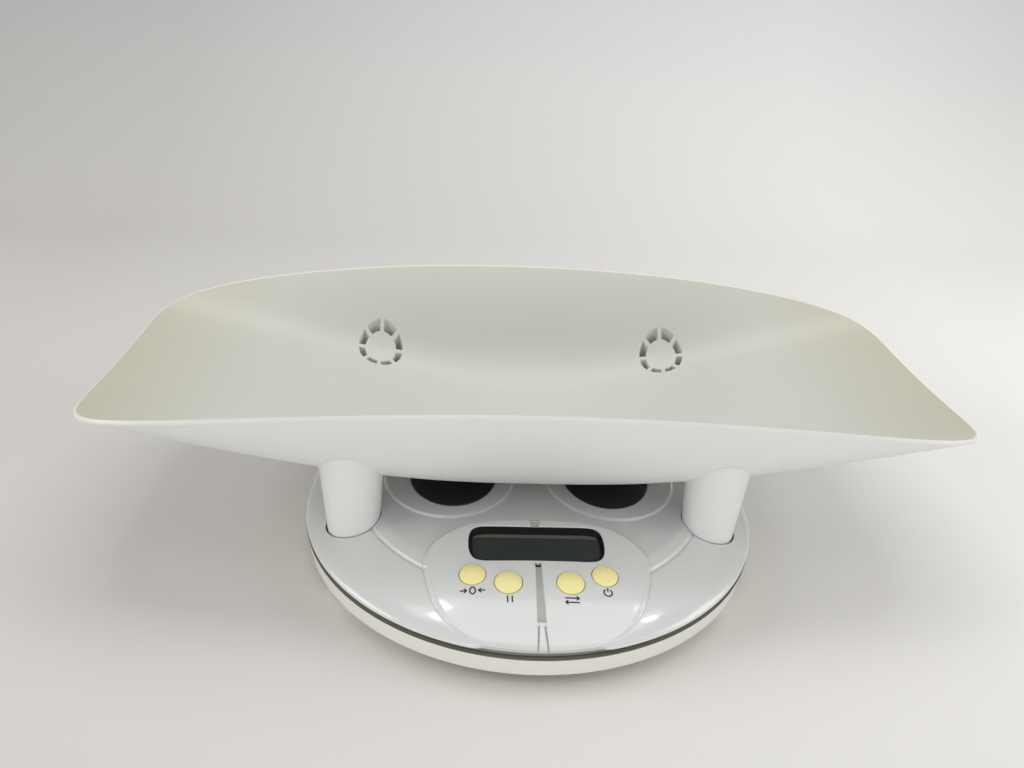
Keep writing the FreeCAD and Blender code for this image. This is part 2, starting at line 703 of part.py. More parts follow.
def make_base():
    bottom, top = size("base_bottom"), size("base_top")
    floor = bottom + size("base_floor")
    taper, wall = size("base_taper"), size("base_wall")
    root = 0.5  # how far bosses and pods reach into the wall that carries them
    soft = size("base_round")
    tub = platform_loft([(taper + soft, bottom), (taper, bottom + soft), (0, top)], True)
    pods = []
    for centre in pod_places().values():
        pod = Part.makeCone(size("pod_radius") - size("pod_draft"), size("pod_radius"),
                            bottom + root - size("pod_level"), centre + UP * size("pod_level"))
        pod = pod.common(prism(platform_outline(taper + soft, 0), 0, bottom + root))
        pods.append(pod)
    tub = tub.fuse(pods)
    inner = platform_loft([(taper + wall, floor), (wall, top + 0.01)], True)
    tub = tub.cut(inner)
    added, removed = [], []
    for centre in mount_screw_places():
        added.append(Part.makeCylinder(size("mount_boss_radius"), size("mount_boss") + root,
                                       centre + UP * (floor - root)))
        depth = size("mount_hole_depth")
        removed.append(Part.makeCylinder(size("medium_screw") + size("screw_play"), depth + root,
                                         centre + UP * (floor - depth + size("mount_boss"))))
    for centre in stop_places():
        added.append(Part.makeCylinder(size("stop_boss_radius"),
                                       size("stop_boss_top") - floor + root,
                                       centre + UP * (floor - root)))
        removed.append(Part.makeCylinder(size("stop_radius") + size("screw_play"), top,
                                         centre + UP * (floor + size("stop_seat"))))
    bay_y, length, width = size("bay_y"), size("bay_length"), size("bay_width")
    thick = size("bay_wall")

    def block(long, wide, low, high, y=bay_y):
        return Part.makeBox(long, wide, high - low, Vector(-long / 2, y - wide / 2, low))

    added.append(block(length + 2 * thick, width + 2 * thick, floor - root,
                       size("bay_top") + thick))
    removed.append(block(length, width, 0, size("bay_top")))
    # floor opening that also takes the hinge barrel, and the ledge that the door lies in
    hinge_y = bay_y - size("hinge_offset")
    neck_front, cheek = hinge_y - size("hinge_neck"), 1.0
    neck = Part.makeBox(length - 2 * cheek, bay_y - neck_front, floor,
                        Vector(cheek - length / 2, neck_front, 0))
    front, rear = size("door_front_reach"), size("door_rear_reach")
    ledge_length = size("door_length") + 2 * size("door_gap")
    ledge = Part.makeBox(ledge_length, front + rear, size("ledge_depth"),
                         Vector(-ledge_length / 2, bay_y - front, bottom))
    deep = size("socket_depth")
    sockets = Part.makeCylinder(size("pin_radius") + size("pin_play"), length + 2 * deep,
                                Vector(-length / 2 - deep, hinge_y, size("hinge_level")), ALONG_X)
    lead_hole = Part.makeCylinder(
        size("lead_hole_radius"), 4 * thick,
        Vector(length / 2 - thick, bay_y + size("lead_y"), size("lead_level")), ALONG_X)
    removed += [neck, ledge, sockets, lead_hole]
    for centre in pod_places().values():
        removed.append(Part.makeCylinder(size("rubber_radius") + size("hole_play"),
                                         size("rubber_height") - size("pod_level"),
                                         centre + UP * size("pod_level")))
    return tub.fuse(added).cut(removed).removeSplitter()


def make_battery_door():
    bay_y, bottom = size("bay_y"), size("base_bottom") + size("door_recess")
    thick, barrel = size("door_thickness"), size("barrel_radius")
    hinge_y = bay_y - size("hinge_offset")
    half = size("bay_length") / 2 - 1 - size("door_gap")
    front, rear = (size(reach) - size("door_gap")
                   for reach in ("door_front_reach", "door_rear_reach"))
    panel = Part.makeBox(size("door_length"), front + rear, thick,
                         Vector(-size("door_length") / 2, bay_y - front, bottom))
    neck = Part.makeBox(2 * half, size("hinge_offset") - front + size("hinge_neck"), thick,
                        Vector(-half, hinge_y, bottom))
    knuckle = Part.makeCylinder(barrel, 2 * half, Vector(-half, hinge_y, size("hinge_level")),
                                ALONG_X)
    reach = half + size("door_gap") + size("pin_reach")
    pin = Part.makeCylinder(size("pin_radius"), 2 * reach,
                            Vector(-reach, hinge_y, size("hinge_level")), ALONG_X)
    long = size("grip_length")
    grip = [Part.makeBox(long, size("grip_width"), size("grip_depth"),
                         Vector(-long / 2, bay_y + size("grip_y") + size("grip_pitch") * number,
                                bottom))
            for number in range(4)]
    return panel.fuse([neck, knuckle, pin]).cut(grip).removeSplitter()


# ---------------------------------------------------------------- wires

def wire_tube(points, radius, bend):
    """Round wire along straight runs joined by tangent arcs."""
    corners = [Vector(*point) for point in points]
    edges = []
    start = corners[0]
    for before, corner, after in zip(corners, corners[1:], corners[2:]):
        toward = (before - corner).normalize()
        away = (after - corner).normalize()
        half_turn = (math.pi - toward.getAngle(away)) / 2
        reach = bend * math.tan(half_turn)
        entry = corner + toward * reach
        leave = corner + away * reach
        bisector = (toward + away).normalize()
        middle = corner + bisector * (bend / math.cos(half_turn) - bend)
        edges.append(Part.makeLine(start, entry))
        edges.append(Part.Arc(entry, middle, leave).toShape())
        start = leave
    edges.append(Part.makeLine(start, corners[-1]))
    path = Part.Wire(edges)
    ring = Part.Wire([Part.Circle(corners[0], corners[1] - corners[0], radius).toShape()])
    tube = path.makePipeShell([ring], True, True)
    expected = path.Length * math.pi * radius ** 2
    print("wire %.1f mm, volume %.3f of expected" % (path.Length, tube.Volume / expected))
    return tube


# ---------------------------------------------------------------- the pieces

part("tray", shaped("Tray", make_tray()))
print("tray done")
part("platform_cover", shaped("Cover", make_cover()))
print("cover done")
part("base_housing", shaped("Base", make_base()))
part("battery_door", shaped("BatteryDoor", make_battery_door()))
for side, name in ((-1, "foot_pad_left"), (1, "foot_pad_right")):
    part(name, shaped(name + "_solid", make_foot_pad(side)))

# rubber feet under the pods
for name, centre in pod_places().items():
    owner = doc.addObject("PartDesign::Body", "Rubber_" + name)
    ring = drawing(owner, "Rubber_%s_ring" % name)
    draw_circle(ring, "rubber_radius")
    disc = pad(owner, ring, "rubber_height", "Rubber_%s_pad" % name)
    doc.recompute()
    rounded = owner.newObject("PartDesign::Fillet", "Rubber_%s_round" % name)
    lower = [number for number, edge in enumerate(disc.Shape.Edges, start=1)
             if edge.BoundBox.ZMax < 0.1]
    rounded.Base = (disc, ["Edge%d" % number for number in lower])
    rounded.setExpression("Radius", bound("rubber_round"))
    part("rubber_foot_" + name, owner, Placement(centre, Rotation()))

# display: sloped surround, dark pane, liquid crystal glass and contact strips
frame_place = display_frame_place()


def display_outline(side, front):
    """The display's opening, grown by side at its ends and by front at its long edges."""
    return power_outline(size("display_half_length") + side, size("display_half_width") + front,
                         size("display_end_power"), [size("display_side_power")] * 2)


def pane_outline(level, play=0.0):
    wire = display_outline(-size("pane_side") - play, -size("pane_front") - play)
    wire.translate(UP * level)
    return wire


def make_display_frame():
    play, depth = size("frame_play"), size("frame_depth")
    surround = prism(display_outline(-play, -play), -depth, -size("frame_drop"))
    flange = prism(display_outline(size("flange_side"), size("flange_front")), -depth,
                   size("frame_flange") - depth)
    rim = display_outline(-size("mouth_side"), -size("mouth_front"))
    rim.translate(UP * (play - size("frame_drop")))
    mouth = Part.makeLoft([pane_outline(-size("pane_drop")), rim], True, True)
    through = prism(pane_outline(0), -depth - play, -size("pane_drop"))
    return surround.fuse(flange).cut([mouth, through]).removeSplitter()


part("display_frame", shaped("DisplayFrame", make_display_frame()), frame_place)

pane = prism(pane_outline(0, size("pane_play")), -size("pane_drop") - size("pane_thickness"),
             -size("pane_drop"))
part("display_window", shaped("Pane", pane), frame_place)
glass = box("Glass", "glass_length", "glass_width", "glass_thickness",
            z="-pane_drop - pane_thickness - glass_thickness")
part("display_glass", group("GlassGroup", [glass]), frame_place)
strip_height = "board_drop - pane_drop - pane_thickness - glass_thickness"
strips = [box("Strip_%d" % row, "strip_length", "strip_width", strip_height,
              y="%s(glass_width / 2 - strip_width)" % sign, z="-board_drop")
          for row, sign in enumerate("+-")]
part("display_connector", group("Strips", strips), frame_place)

# circuit board under the display and the buttons, in the display's frame
post_x, post_y = "board_length / 2 - board_post_inset", "board_width / 2 - board_post_inset"
post_holes = [("small_screw + hole_play", x, y) for x, y in four(post_x, post_y)]
board = plate("main_board", "board_length", "board_width", "board_thickness", "board_corner",
              post_holes)
board_low = -size("board_drop") - size("board_thickness")
part("main_board", board,
     frame_place.multiply(Placement(Vector(0, size("board_shift"), board_low), Rotation())))
below_board = "-board_drop - board_thickness"
chip = box("ChipBody", "chip_side", "chip_side", "chip_height", x="chip_x",
           y="board_shift + chip_y", z=below_board + " - chip_height - 0.2")
legs = []
for side in ("-", ""):
    for number in range(8):
        legs.append(box("ChipLeg_%s%d" % ("left" if side else "right", number), "2.2", "0.6",
                        "0.8", x="%s(chip_side / 2 + 0.9) + chip_x" % side,
                        y="board_shift + chip_y + %.1f * chip_lead_pitch" % (number - 3.5),
                        z=below_board + " - 0.8"))
part("controller_chip", fused("Chip", [chip] + legs), frame_place)
small_parts = []
for number in range(6):
    column, line = number % 3, number // 3
    small_parts.append(box("Resistor_%d" % number, "3.2", "1.6", "0.9",
                           x="-14 - %d * 6" % column, y="board_shift + %d * 5" % line,
                           z=below_board + " - 0.9"))
small_parts.append(box("Crystal", "10", "3.6", "2.6", x="-18", y="board_shift + 14",
                       z=below_board + " - 2.6"))
small_parts.append(rod("Capacitor", "3", "5.5", x="30", y="board_shift + 8",
                       z=below_board + " - 5.5"))
small_parts.append(box("LeadSocket", "12", "5", "4.5", x="26", y="board_shift + 22",
                       z=below_board + " - 4.5"))
part("board_parts", group("SmallParts", small_parts), frame_place)

# buttons and the tact switches under them
switches = []
for label, (x, y, radius) in button_places().items():
    cap_radius = "inner_button_radius" if abs(x) < 30 else "outer_button_radius"
    sag = "(button_crown - button_edge)"
    ball = "((%s * %s + %s * %s) / (2 * %s))" % (cap_radius, cap_radius, sag, sag, sag)
    crown = bind(doc.addObject("Part::Sphere", label + "_crown"), Radius=ball)
    put(crown, "0", "0", "button_crown - %s" % ball)
    stem = rod(label + "_stem", cap_radius, "flange_drop + button_crown + 0.2",
               z="-flange_drop - 0.1")
    cap = common(label + "_cap", stem, crown)
    skirt = rod(label + "_flange", cap_radius + " + flange_extra", "flange_thickness",
                z="-flange_drop - flange_thickness")
    nub = rod(label + "_nub", "nub_radius", "nub_height + 0.1",
              z="-flange_drop - flange_thickness - nub_height")
    part(label, fused(label + "_whole", [cap, skirt, nub]), island_frame(x, y))
    axis_place = frame_place.inverse().multiply(island_frame(x, y))
    depth = axis_place.Base.z + size("board_drop")
    normal = axis_place.Rotation.multVec(UP)
    spot = axis_place.Base - normal * (depth / normal.z)
    spot_x, spot_y = "%.3f" % spot.x, "%.3f" % spot.y
    switches.append(fused(label + "_switch", [
        box(label + "_switch_body", "switch_side", "switch_side", "switch_height",
            x=spot_x, y=spot_y, z="-board_drop"),
        rod(label + "_plunger", "plunger_radius", "plunger_height + 0.2",
            x=spot_x, y=spot_y, z="-board_drop + switch_height - 0.2")]))
part("switch_bodies", group("Switches", switches), frame_place)

board_screws = [screw("BoardScrew_%d" % number, "(small_screw - 0.25)", "3.2", "2.4", "1.5",
                      x, "board_shift + (%s)" % y, "-board_drop - board_thickness", False)
                for number, (x, y) in enumerate(four(post_x, post_y))]
part("board_screws", group("BoardScrews", board_screws), frame_place)

# weighing mechanism, from the base floor up
mount_low = "base_bottom + base_floor + mount_boss"
cell_low = mount_low + " + sheet_thickness + spacer_thickness"
cell_high = cell_low + " + cell_side"
load_low = cell_high + " + spacer_thickness"


def level_of(formula):
    return sum(size(word.strip()) for word in formula.split("+"))


cell_screw_hole = "cell_screw_radius + hole_play"
lower_x = ["-cell_screw_x %s cell_screw_reach" % way for way in "+-"]
upper_x = ["cell_screw_x %s cell_screw_reach" % way for way in "+-"]
mount_x, mount_y = "mount_length / 2 - mount_screw_inset", "mount_width / 2 - mount_screw_inset"
mount_holes = [("medium_screw + hole_play", x, y) for x, y in four(mount_x, mount_y)]
mount_holes += [(cell_screw_hole, x, "0") for x in lower_x]
mounting = plate("mounting_plate", "mount_length", "mount_width", "sheet_thickness",
                 "mount_corner", mount_holes)
sinks = [cone("Sink_%d" % number, "4.4", "2.5", "1.6", x, "mech_y", mount_low + " - 0.01")
         for number, x in enumerate(lower_x)]
mounting.Placement = Placement(Vector(0, size("mech_y"), level_of(mount_low)), Rotation())
part("mounting_plate", cut("MountingPlate", mounting, sinks))

load_holes = [("medium_screw + hole_play", x, y) for x, y in four("post_x", "post_y")]
load_holes += [(cell_screw_hole, x, "0") for x in upper_x]
load = plate("load_plate", "load_plate_length", "load_plate_width", "sheet_thickness",
             "load_plate_corner", load_holes)
part("load_plate", load, Placement(Vector(0, size("mech_y"), level_of(load_low)), Rotation()))

for label, middle, places, low in (
        ("cell_lower_spacer", "-cell_screw_x", lower_x, mount_low + " + sheet_thickness"),
        ("cell_upper_spacer", "cell_screw_x", upper_x, cell_high)):
    blank = box(label + "_blank", "spacer_length", "cell_side", "spacer_thickness",
                middle, "mech_y", low)
    holes = [rod("%s_hole_%d" % (label, number), cell_screw_hole, "3 * spacer_thickness",
                 x, "mech_y", low + " - spacer_thickness")
             for number, x in enumerate(places)]
    part(label, cut(label + "_cut", blank, holes))

beam = box("Beam", "cell_length", "cell_side", "cell_side", y="mech_y", z=cell_low)
beam_middle = cell_low + " + cell_side / 2"
along_y = Rotation(ALONG_X, -90)
eyes = [rod("Eye_%d" % number, "cell_bore", "20", "%scell_bore_pitch / 2" % sign,
            "mech_y - 10", beam_middle, along_y) for number, sign in enumerate(("", "-"))]
slot = box("BeamSlot", "cell_bore_pitch", "20", "cell_slot", y="mech_y",
           z=beam_middle + " - cell_slot / 2")
threads = [rod("Thread_%d" % number, "cell_screw_radius + screw_play", "2 * cell_side",
               x, "mech_y", cell_low + " - cell_side / 2")
           for number, x in enumerate(upper_x + lower_x)]
part("load_cell", cut("LoadCell", beam, eyes + [slot] + threads))

upper_screws = [screw("UpperScrew_%d" % number, "cell_screw_radius", "11", "4.2", "2.6",
                      x, "mech_y", load_low + " + sheet_thickness")
                for number, x in enumerate(upper_x)]
part("cell_upper_screws", group("UpperScrews", upper_screws))
lower_screws = []
for number, x in enumerate(lower_x):
    head = cone("LowerHead_%d" % number, "4.3", "2.4", "1.6", x, "mech_y", mount_low)
    shaft = rod("LowerShaft_%d" % number, "cell_screw_radius", "11", x, "mech_y",
                mount_low + " + 0.5")
    hex_recess = bind(doc.addObject("Part::Prism", "LowerRecess_%d" % number),
                      Circumradius="1.7", Height="1.4")
    put(hex_recess, x, "mech_y", mount_low + " - 0.1")
    lower_screws.append(cut("LowerScrew_%d" % number, fused("LowerBlank_%d" % number,
                                                            [head, shaft]), hex_recess))
part("cell_lower_screws", group("LowerScrews", lower_screws))

mount_screws = [screw("MountScrew_%d" % number, "medium_screw", "4", "3.6", "2.2", x,
                      "mech_y + (%s)" % y, mount_low + " + sheet_thickness")
                for number, (x, y) in enumerate(four(mount_x, mount_y))]
part("mounting_plate_screws", group("MountScrews", mount_screws))
load_screws = [screw("LoadScrew_%d" % number, "medium_screw - 0.05", "6", "3.6", "2.2", x,
                     "mech_y + (%s)" % y, load_low, False)
               for number, (x, y) in enumerate(four("post_x", "post_y"))]
part("load_plate_screws", group("LoadScrews", load_screws))

stop_low = "base_bottom + base_floor + stop_seat"
stop_reach = "(%s) - (%s) - stop_gap" % (load_low, stop_low)
stops = []
for number, (x, y) in enumerate(four("stop_x", "stop_y")):
    pin = rod("StopPin_%d" % number, "stop_radius", stop_reach, x, "mech_y + (%s)" % y, stop_low)
    key = bind(doc.addObject("Part::Prism", "StopKey_%d" % number),
               Circumradius="1.4", Height="2.5")
    put(key, x, "mech_y + (%s)" % y, "%s - stop_gap - 2" % load_low)
    stops.append(cut("Stop_%d" % number, pin, key))
part("overload_stops", group("Stops", stops))

# battery with its clip
cell_x = "-bay_length / 2 + 1 + battery_length / 2"
case = box("BatteryCase", "battery_length", "battery_width", "battery_height", cell_x, "bay_y",
           "battery_level")
round_case = doc.addObject("Part::Fillet", "BatteryRound")
round_case.Base = case
doc.recompute()
round_case.Edges = [(number, 2.0, 2.0) for number, edge in enumerate(case.Shape.Edges, start=1)
                    if abs(edge.tangentAt(edge.FirstParameter).x) > 0.9]
stud_x = "-bay_length / 2 + 1 + battery_length - 0.2"
along_x = Rotation(Vector(0, 1, 0), 90)
stud_level = "battery_level + battery_height / 2"
studs = [rod("Stud_%d" % number, "2.8", "2.2", stud_x, "bay_y %s 6.4" % sign, stud_level, along_x)
         for number, sign in enumerate("+-")]
part("battery", fused("Battery", [round_case] + studs))
clip = box("ClipBody", "3.2", "24", "12", "%s + 0.3 + 1.7" % stud_x, "bay_y",
           stud_level + " - 6")
clip_holes = [rod("ClipHole_%d" % number, "2.9", "2.4", "%s - 0.1" % stud_x,
                  "bay_y %s 6.4" % sign, stud_level, along_x) for number, sign in enumerate("+-")]
part("battery_snap", cut("Clip", clip, clip_holes))

# wires inside the housing
bay_end = size("bay_length") / 2
clip_end = -bay_end + 1 + size("battery_length") + 3.6
lead_y, board_rear = size("bay_y") + size("lead_y"), -70.0
leads = []
for gap in (0.0, 1.6):
    leads.append(wire_tube([
        (clip_end, lead_y, 20 - gap), (38.0 + gap, lead_y, 20 - gap),
        (42.0 + gap, 86.0 - gap, 13.0), (82.0 - gap, 82.0 - gap, 13.0), (80.0 - gap, -20.0, 13.0),
        (44.0 + gap, board_rear, 20.0), (30.0 + gap, board_rear - 2, 22.0)],
        size("wire_radius"), 3.2))
part("battery_leads", shaped("BatteryLeads", Part.makeCompound(leads)))
cell_wires = []
for number in range(4):
    offset = 1.4 * number
    cell_wires.append(wire_tube([
        (2.0 + offset, size("mech_y") - size("cell_side") / 2 - 0.2, 22.0),
        (2.0 + offset, 14.0 - offset, 22.0), (12.0 + offset, -6.0, 15.0),
        (14.0 + offset, -50.0, 15.0), (20.0 + offset, board_rear, 22.0)],
        0.5, 3.0))
part("cell_leads", shaped("CellLeads", Part.makeCompound(cell_wires)))

doc.recompute()
faults = [item.Name for item in doc.Objects
          if "Invalid" in item.State or "Error" in item.State]
for piece in parts:
    if piece.Shape.isNull() or not piece.Shape.isValid():
        faults.append(piece.Label + " shape")
if faults:
    raise RuntimeError("failed: " + ", ".join(faults))

os.makedirs("parts", exist_ok=True)
for piece in parts:
    piece.Shape.exportStep("parts/%s.step" % piece.Label)
print(len(parts), "sub-parts written")
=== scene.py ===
import math
import bpy
import numpy as np
from mathutils import Matrix, Vector
from mathutils.geometry import delaunay_2d_cdt


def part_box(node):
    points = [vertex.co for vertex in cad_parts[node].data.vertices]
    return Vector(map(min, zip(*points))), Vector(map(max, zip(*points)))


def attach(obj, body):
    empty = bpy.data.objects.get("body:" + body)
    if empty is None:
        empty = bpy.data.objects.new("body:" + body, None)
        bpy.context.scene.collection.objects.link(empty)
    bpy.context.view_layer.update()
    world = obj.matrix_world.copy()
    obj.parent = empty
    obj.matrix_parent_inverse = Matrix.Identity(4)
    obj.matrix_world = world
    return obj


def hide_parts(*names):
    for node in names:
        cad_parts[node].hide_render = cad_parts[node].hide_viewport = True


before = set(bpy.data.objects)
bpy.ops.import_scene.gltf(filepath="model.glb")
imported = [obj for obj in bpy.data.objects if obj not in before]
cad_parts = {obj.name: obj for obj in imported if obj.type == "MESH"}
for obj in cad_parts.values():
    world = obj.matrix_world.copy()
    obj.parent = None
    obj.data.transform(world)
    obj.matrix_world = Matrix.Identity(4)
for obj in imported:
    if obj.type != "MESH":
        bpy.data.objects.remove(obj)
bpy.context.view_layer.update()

# Digital baby weighing scale. Sizes are in millimetres and become metres when a mesh is made.
# +Z is up, the user stands at -Y, and the floor is at Z = 0.

milli = 0.001
scene = bpy.context.scene
scene.view_settings.view_transform = "Standard"


# mesh making

def unit(vectors):
    return vectors / np.maximum(np.linalg.norm(vectors, axis=-1, keepdims=True), 1e-9)


def ray(angle):
    return np.array([math.cos(angle), math.sin(angle)])


def quarter(count):
    # cosine and sine at even steps through a quarter turn
    return [ray(angle) for angle in np.linspace(0, math.pi / 2, count)]


class Skin:
    # gathers faces with a normal at each corner; corners in the same place share a vertex

    def __init__(self):
        self.points, self.known, self.faces, self.normals = [], {}, [], []
        self.finish, self.finishes = 0, []  # number of the material that new faces take

    def corner(self, point):
        key = (round(point[0] * 5000), round(point[1] * 5000), round(point[2] * 5000))
        if key not in self.known:
            self.known[key] = len(self.points)
            self.points.append([float(value) for value in point])
        return self.known[key]

    def face(self, points, normals):
        ring, kept = [], []
        for point, normal in zip(points, normals):
            index = self.corner(point)
            if index not in ring:
                ring.append(index)
                kept.append(normal)
        if len(ring) > 2:
            self.faces.append(ring)
            self.normals.append(kept)
            self.finishes.append(self.finish)

    def strip(self, rows, normals=None, closed=True):
        # quads between rows of points; each row has the same count
        rows = [np.asarray(row, float) for row in rows]
        count = len(rows[0])
        if normals is None:
            normals = rowNormals(rows, closed)
        for low in range(len(rows) - 1):
            first, second = rows[low], rows[low + 1]
            firstNormals, secondNormals = normals[low], normals[low + 1]
            for here in range(count if closed else count - 1):
                there = (here + 1) % count
                self.face((first[here], first[there], second[there], second[here]),
                          (firstNormals[here], firstNormals[there],
                           secondNormals[there], secondNormals[here]))

    def sharpStrip(self, rows, closed=True):
        # the same with an edge along each row
        for low, high in zip(rows, rows[1:]):
            self.strip([low, high], closed=closed)

    def sheet(self, triangles, points, normals, down=False):
        for triangle in triangles:
            order = triangle[::-1] if down else triangle
            self.face(points[order], normals[order])

    def mesh(self, name, materials):
        made = bpy.data.meshes.new(name)
        made.from_pydata((np.array(self.points) * milli).tolist(), [], self.faces)
        for material in materials:
            made.materials.append(material)
        made.polygons.foreach_set("material_index", self.finishes)
        made.shade_smooth()
        made.normals_split_custom_set(
            [tuple(float(v) for v in normal) for face in self.normals for normal in face])
        return made

    def lid(self, edge, pitch, gap, down=False, place=None):
        # flat face inside an edge loop, which may lie in the frame of a tilted place
        low, high = edge[:, :2].min(0), edge[:, :2].max(0)
        plan, triangles = planMesh(edge, [], hexGrid(low, high, pitch), gap)
        points, facing = flat(plan, edge[0, 2]), Vector((0, 0, -1 if down else 1))
        if place is not None:
            points, facing = placed(points, place), place.to_3x3() @ facing
        self.sheet(triangles, points, np.tile(np.array(facing), (len(plan), 1)), down)

    def piece(self, name, materials, body, slot, replaced=None):
        made = bpy.data.objects.new(name, self.mesh(name, materials))
        scene.collection.objects.link(made)
        dress(made, body, replaced)


def dress(made, body, replaced=None):
    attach(made, body)
    if replaced:
        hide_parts(replaced)


def rowNormals(rows, closed):
    # smooth normals of a grid of rows, facing right of the row when the rows go up
    grid = np.array(rows)
    if closed:
        around = np.roll(grid, -1, 1) - np.roll(grid, 1, 1)
    else:
        around = np.gradient(grid, axis=1)
    across = np.gradient(grid, axis=0)
    return unit(np.cross(around, across))


def insideLoop(points, loop):
    # even-odd test of many plan points against one closed loop
    x, y = points[:, 0][:, None], points[:, 1][:, None]
    startX, startY = loop[:, 0][None], loop[:, 1][None]
    endX, endY = np.roll(loop[:, 0], -1)[None], np.roll(loop[:, 1], -1)[None]
    crosses = (startY > y) != (endY > y)
    rise = np.where(endY == startY, 1e-9, endY - startY)
    return (crosses & (x < startX + (y - startY) * (endX - startX) / rise)).sum(1) % 2 == 1


def inPlan(points, loops):
    # which points lie inside the first loop and in none of the others
    keep = insideLoop(points, loops[0])
    for hole in loops[1:]:
        near = ((points > hole.min(0)) & (points < hole.max(0))).all(1) & keep
        keep[near] &= ~insideLoop(points[near], hole)
    return keep


def planMesh(outer, holes, extra, gap):
    # triangles over the plan between the outer loop and the holes, through the extra points
    loops = [np.asarray(outer)[:, :2]] + [np.asarray(hole)[:, :2] for hole in holes]
    fixed = np.concatenate(loops)
    edges, start = [], 0
    for loop in loops:
        count = len(loop)
        edges += [(start + here, start + (here + 1) % count) for here in range(count)]
        start += count
    plan = np.concatenate([fixed, thinOut(fixed, extra[inPlan(extra, loops)], gap)])
    _, _, faces, origins = delaunay_2d_cdt(
        [Vector(point) for point in plan], edges, [], 0, 1e-5)[:4]
    source = np.array([origin[0] if origin else -1 for origin in origins])
    triangles = source[np.array([face for face in faces if len(face) == 3])]
    triangles = triangles[(triangles >= 0).all(1)]
    triangles = triangles[inPlan(plan[triangles].mean(1), loops)]
    a, b, c = (plan[triangles[:, k]] for k in range(3))
    turn = (b - a)[:, 0] * (c - a)[:, 1] - (b - a)[:, 1] * (c - a)[:, 0]
    triangles[turn < 0] = triangles[turn < 0][:, ::-1]
    border = np.sort(np.array(edges), 1) @ (len(plan), 1)
    while True:
        # slivers outside a straight stretch of a loop have a side that nothing shares
        sides = np.sort(triangles[:, [[0, 1], [1, 2], [2, 0]]], 2) @ (len(plan), 1)
        _, place, uses = np.unique(sides, return_inverse=True, return_counts=True)
        loose = (uses[place.reshape(sides.shape)] == 1) & ~np.isin(sides, border)
        if not loose.any():
            return plan, triangles
        triangles = triangles[~loose.any(1)]


def thinOut(fixed, extra, gap):
    # drop extra points that crowd the fixed ones or each other; earlier points win
    cells = {}
    for point in fixed:
        cells.setdefault((int(point[0] // gap), int(point[1] // gap)), []).append(point)
    kept = []
    for point in extra:
        column, row = int(point[0] // gap), int(point[1] // gap)
        crowded = any(abs(other[0] - point[0]) < gap and abs(other[1] - point[1]) < gap
                      and (other[0] - point[0]) ** 2 + (other[1] - point[1]) ** 2 < gap * gap
                      for i in (column - 1, column, column + 1)
                      for j in (row - 1, row, row + 1) for other in cells.get((i, j), ()))
        if not crowded:
            cells.setdefault((column, row), []).append(point)
            kept.append(point)
    return np.array(kept).reshape(-1, 2)


def hexGrid(low, high, pitch):
    rows = np.arange(low[1], high[1], pitch * 0.866)
    points = [(x + (number % 2) * pitch / 2, y) for number, y in enumerate(rows)
              for x in np.arange(low[0], high[0], pitch)]
    return np.array(points)


def circle(centre, radius, count):
    turn = np.arange(count) * 2 * math.pi / count
    return np.stack([centre[0] + radius * np.cos(turn), centre[1] + radius * np.sin(turn)], 1)


def evenly(loop, pitch):
    # points at an even spacing along a closed plan loop
    closed = np.concatenate([loop, loop[:1]])
    steps = np.linalg.norm(np.diff(closed, axis=0), axis=1)
    along = np.concatenate([[0], np.cumsum(steps)])
    count = max(8, round(along[-1] / pitch))
    places = np.arange(count) / count * along[-1]
    return np.stack([np.interp(places, along, closed[:, k]) for k in (0, 1)], 1)


def outward(loop):
    # plan normals of a closed loop that runs anticlockwise
    around = np.roll(loop, -1, 0) - np.roll(loop, 1, 0)
    return unit(np.stack([around[:, 1], -around[:, 0]], 1))


def pillow(halfLength, halfWidth, endPower, sidePowers, pitch):
    turn = np.arange(20000) * 2 * math.pi / 20000
    across, along = np.cos(turn), np.sin(turn)
    power = np.where(along < 0, sidePowers[0], sidePowers[1])
    loop = np.stack([halfLength * np.sign(across) * np.abs(across) ** (2 / endPower),
                     halfWidth * np.sign(along) * np.abs(along) ** (2 / power)], 1)
    return evenly(loop, pitch)


def slopeNormals(level, plan, step=0.02):
    x, y = plan[:, 0], plan[:, 1]
    slopeX = (level(x + step, y) - level(x - step, y)) / (2 * step)
    slopeY = (level(x, y + step) - level(x, y - step)) / (2 * step)
    return unit(np.stack([-slopeX, -slopeY, np.ones_like(slopeX)], 1))


def lifted(plan, level):
    return np.column_stack([plan, level(plan[:, 0], plan[:, 1])])


def flat(plan, level):
    return np.column_stack([plan, np.full(len(plan), float(level))])


def placed(points, place):
    return np.array([place @ Vector(point) for point in points])


def smoothStep(value):
    value = np.clip(value, 0, 1)
    return value * value * (3 - 2 * value)


def lathe(skin, profile, count, place):
    # turns a profile of (radius, level) points about Z; the profile runs from top to bottom
    rows = [placed(flat(circle((0, 0), radius, count), level), place) for radius, level in profile]
    skin.strip(rows[::-1])


def mouthRows(loop, away, level, edge):
    # rows round the edge of an upright hole in a surface, down to the hole's wall
    into = flat(-away, 0)
    rows, facings = [], []
    for cos, sin in quarter(4):
        plan = loop + away * edge * (1 - sin)
        rows.append(lifted(plan, level) - (0, 0, edge * (1 - cos)))
        facings.append(unit(cos * slopeNormals(level, plan) + sin * into))
    return rows, facings, into


# materials

def linear(code):
    channels = [int(code[k:k + 2], 16) / 255 for k in (1, 3, 5)]
    return [c / 12.92 if c <= 0.04045 else ((c + 0.055) / 1.055) ** 2.4 for c in channels] + [1]


def addNode(tree, kind, inputs=None, **settings):
    node = tree.nodes.new(kind)
    for name, value in settings.items():
        setattr(node, name, value)
    for name, value in (inputs or {}).items():
        several = value if isinstance(value, list) else [value]
        if isinstance(several[0], bpy.types.NodeSocket):
            for socket in several:
                tree.links.new(socket, node.inputs[name])
        else:
            node.inputs[name].default_value = value
    return node


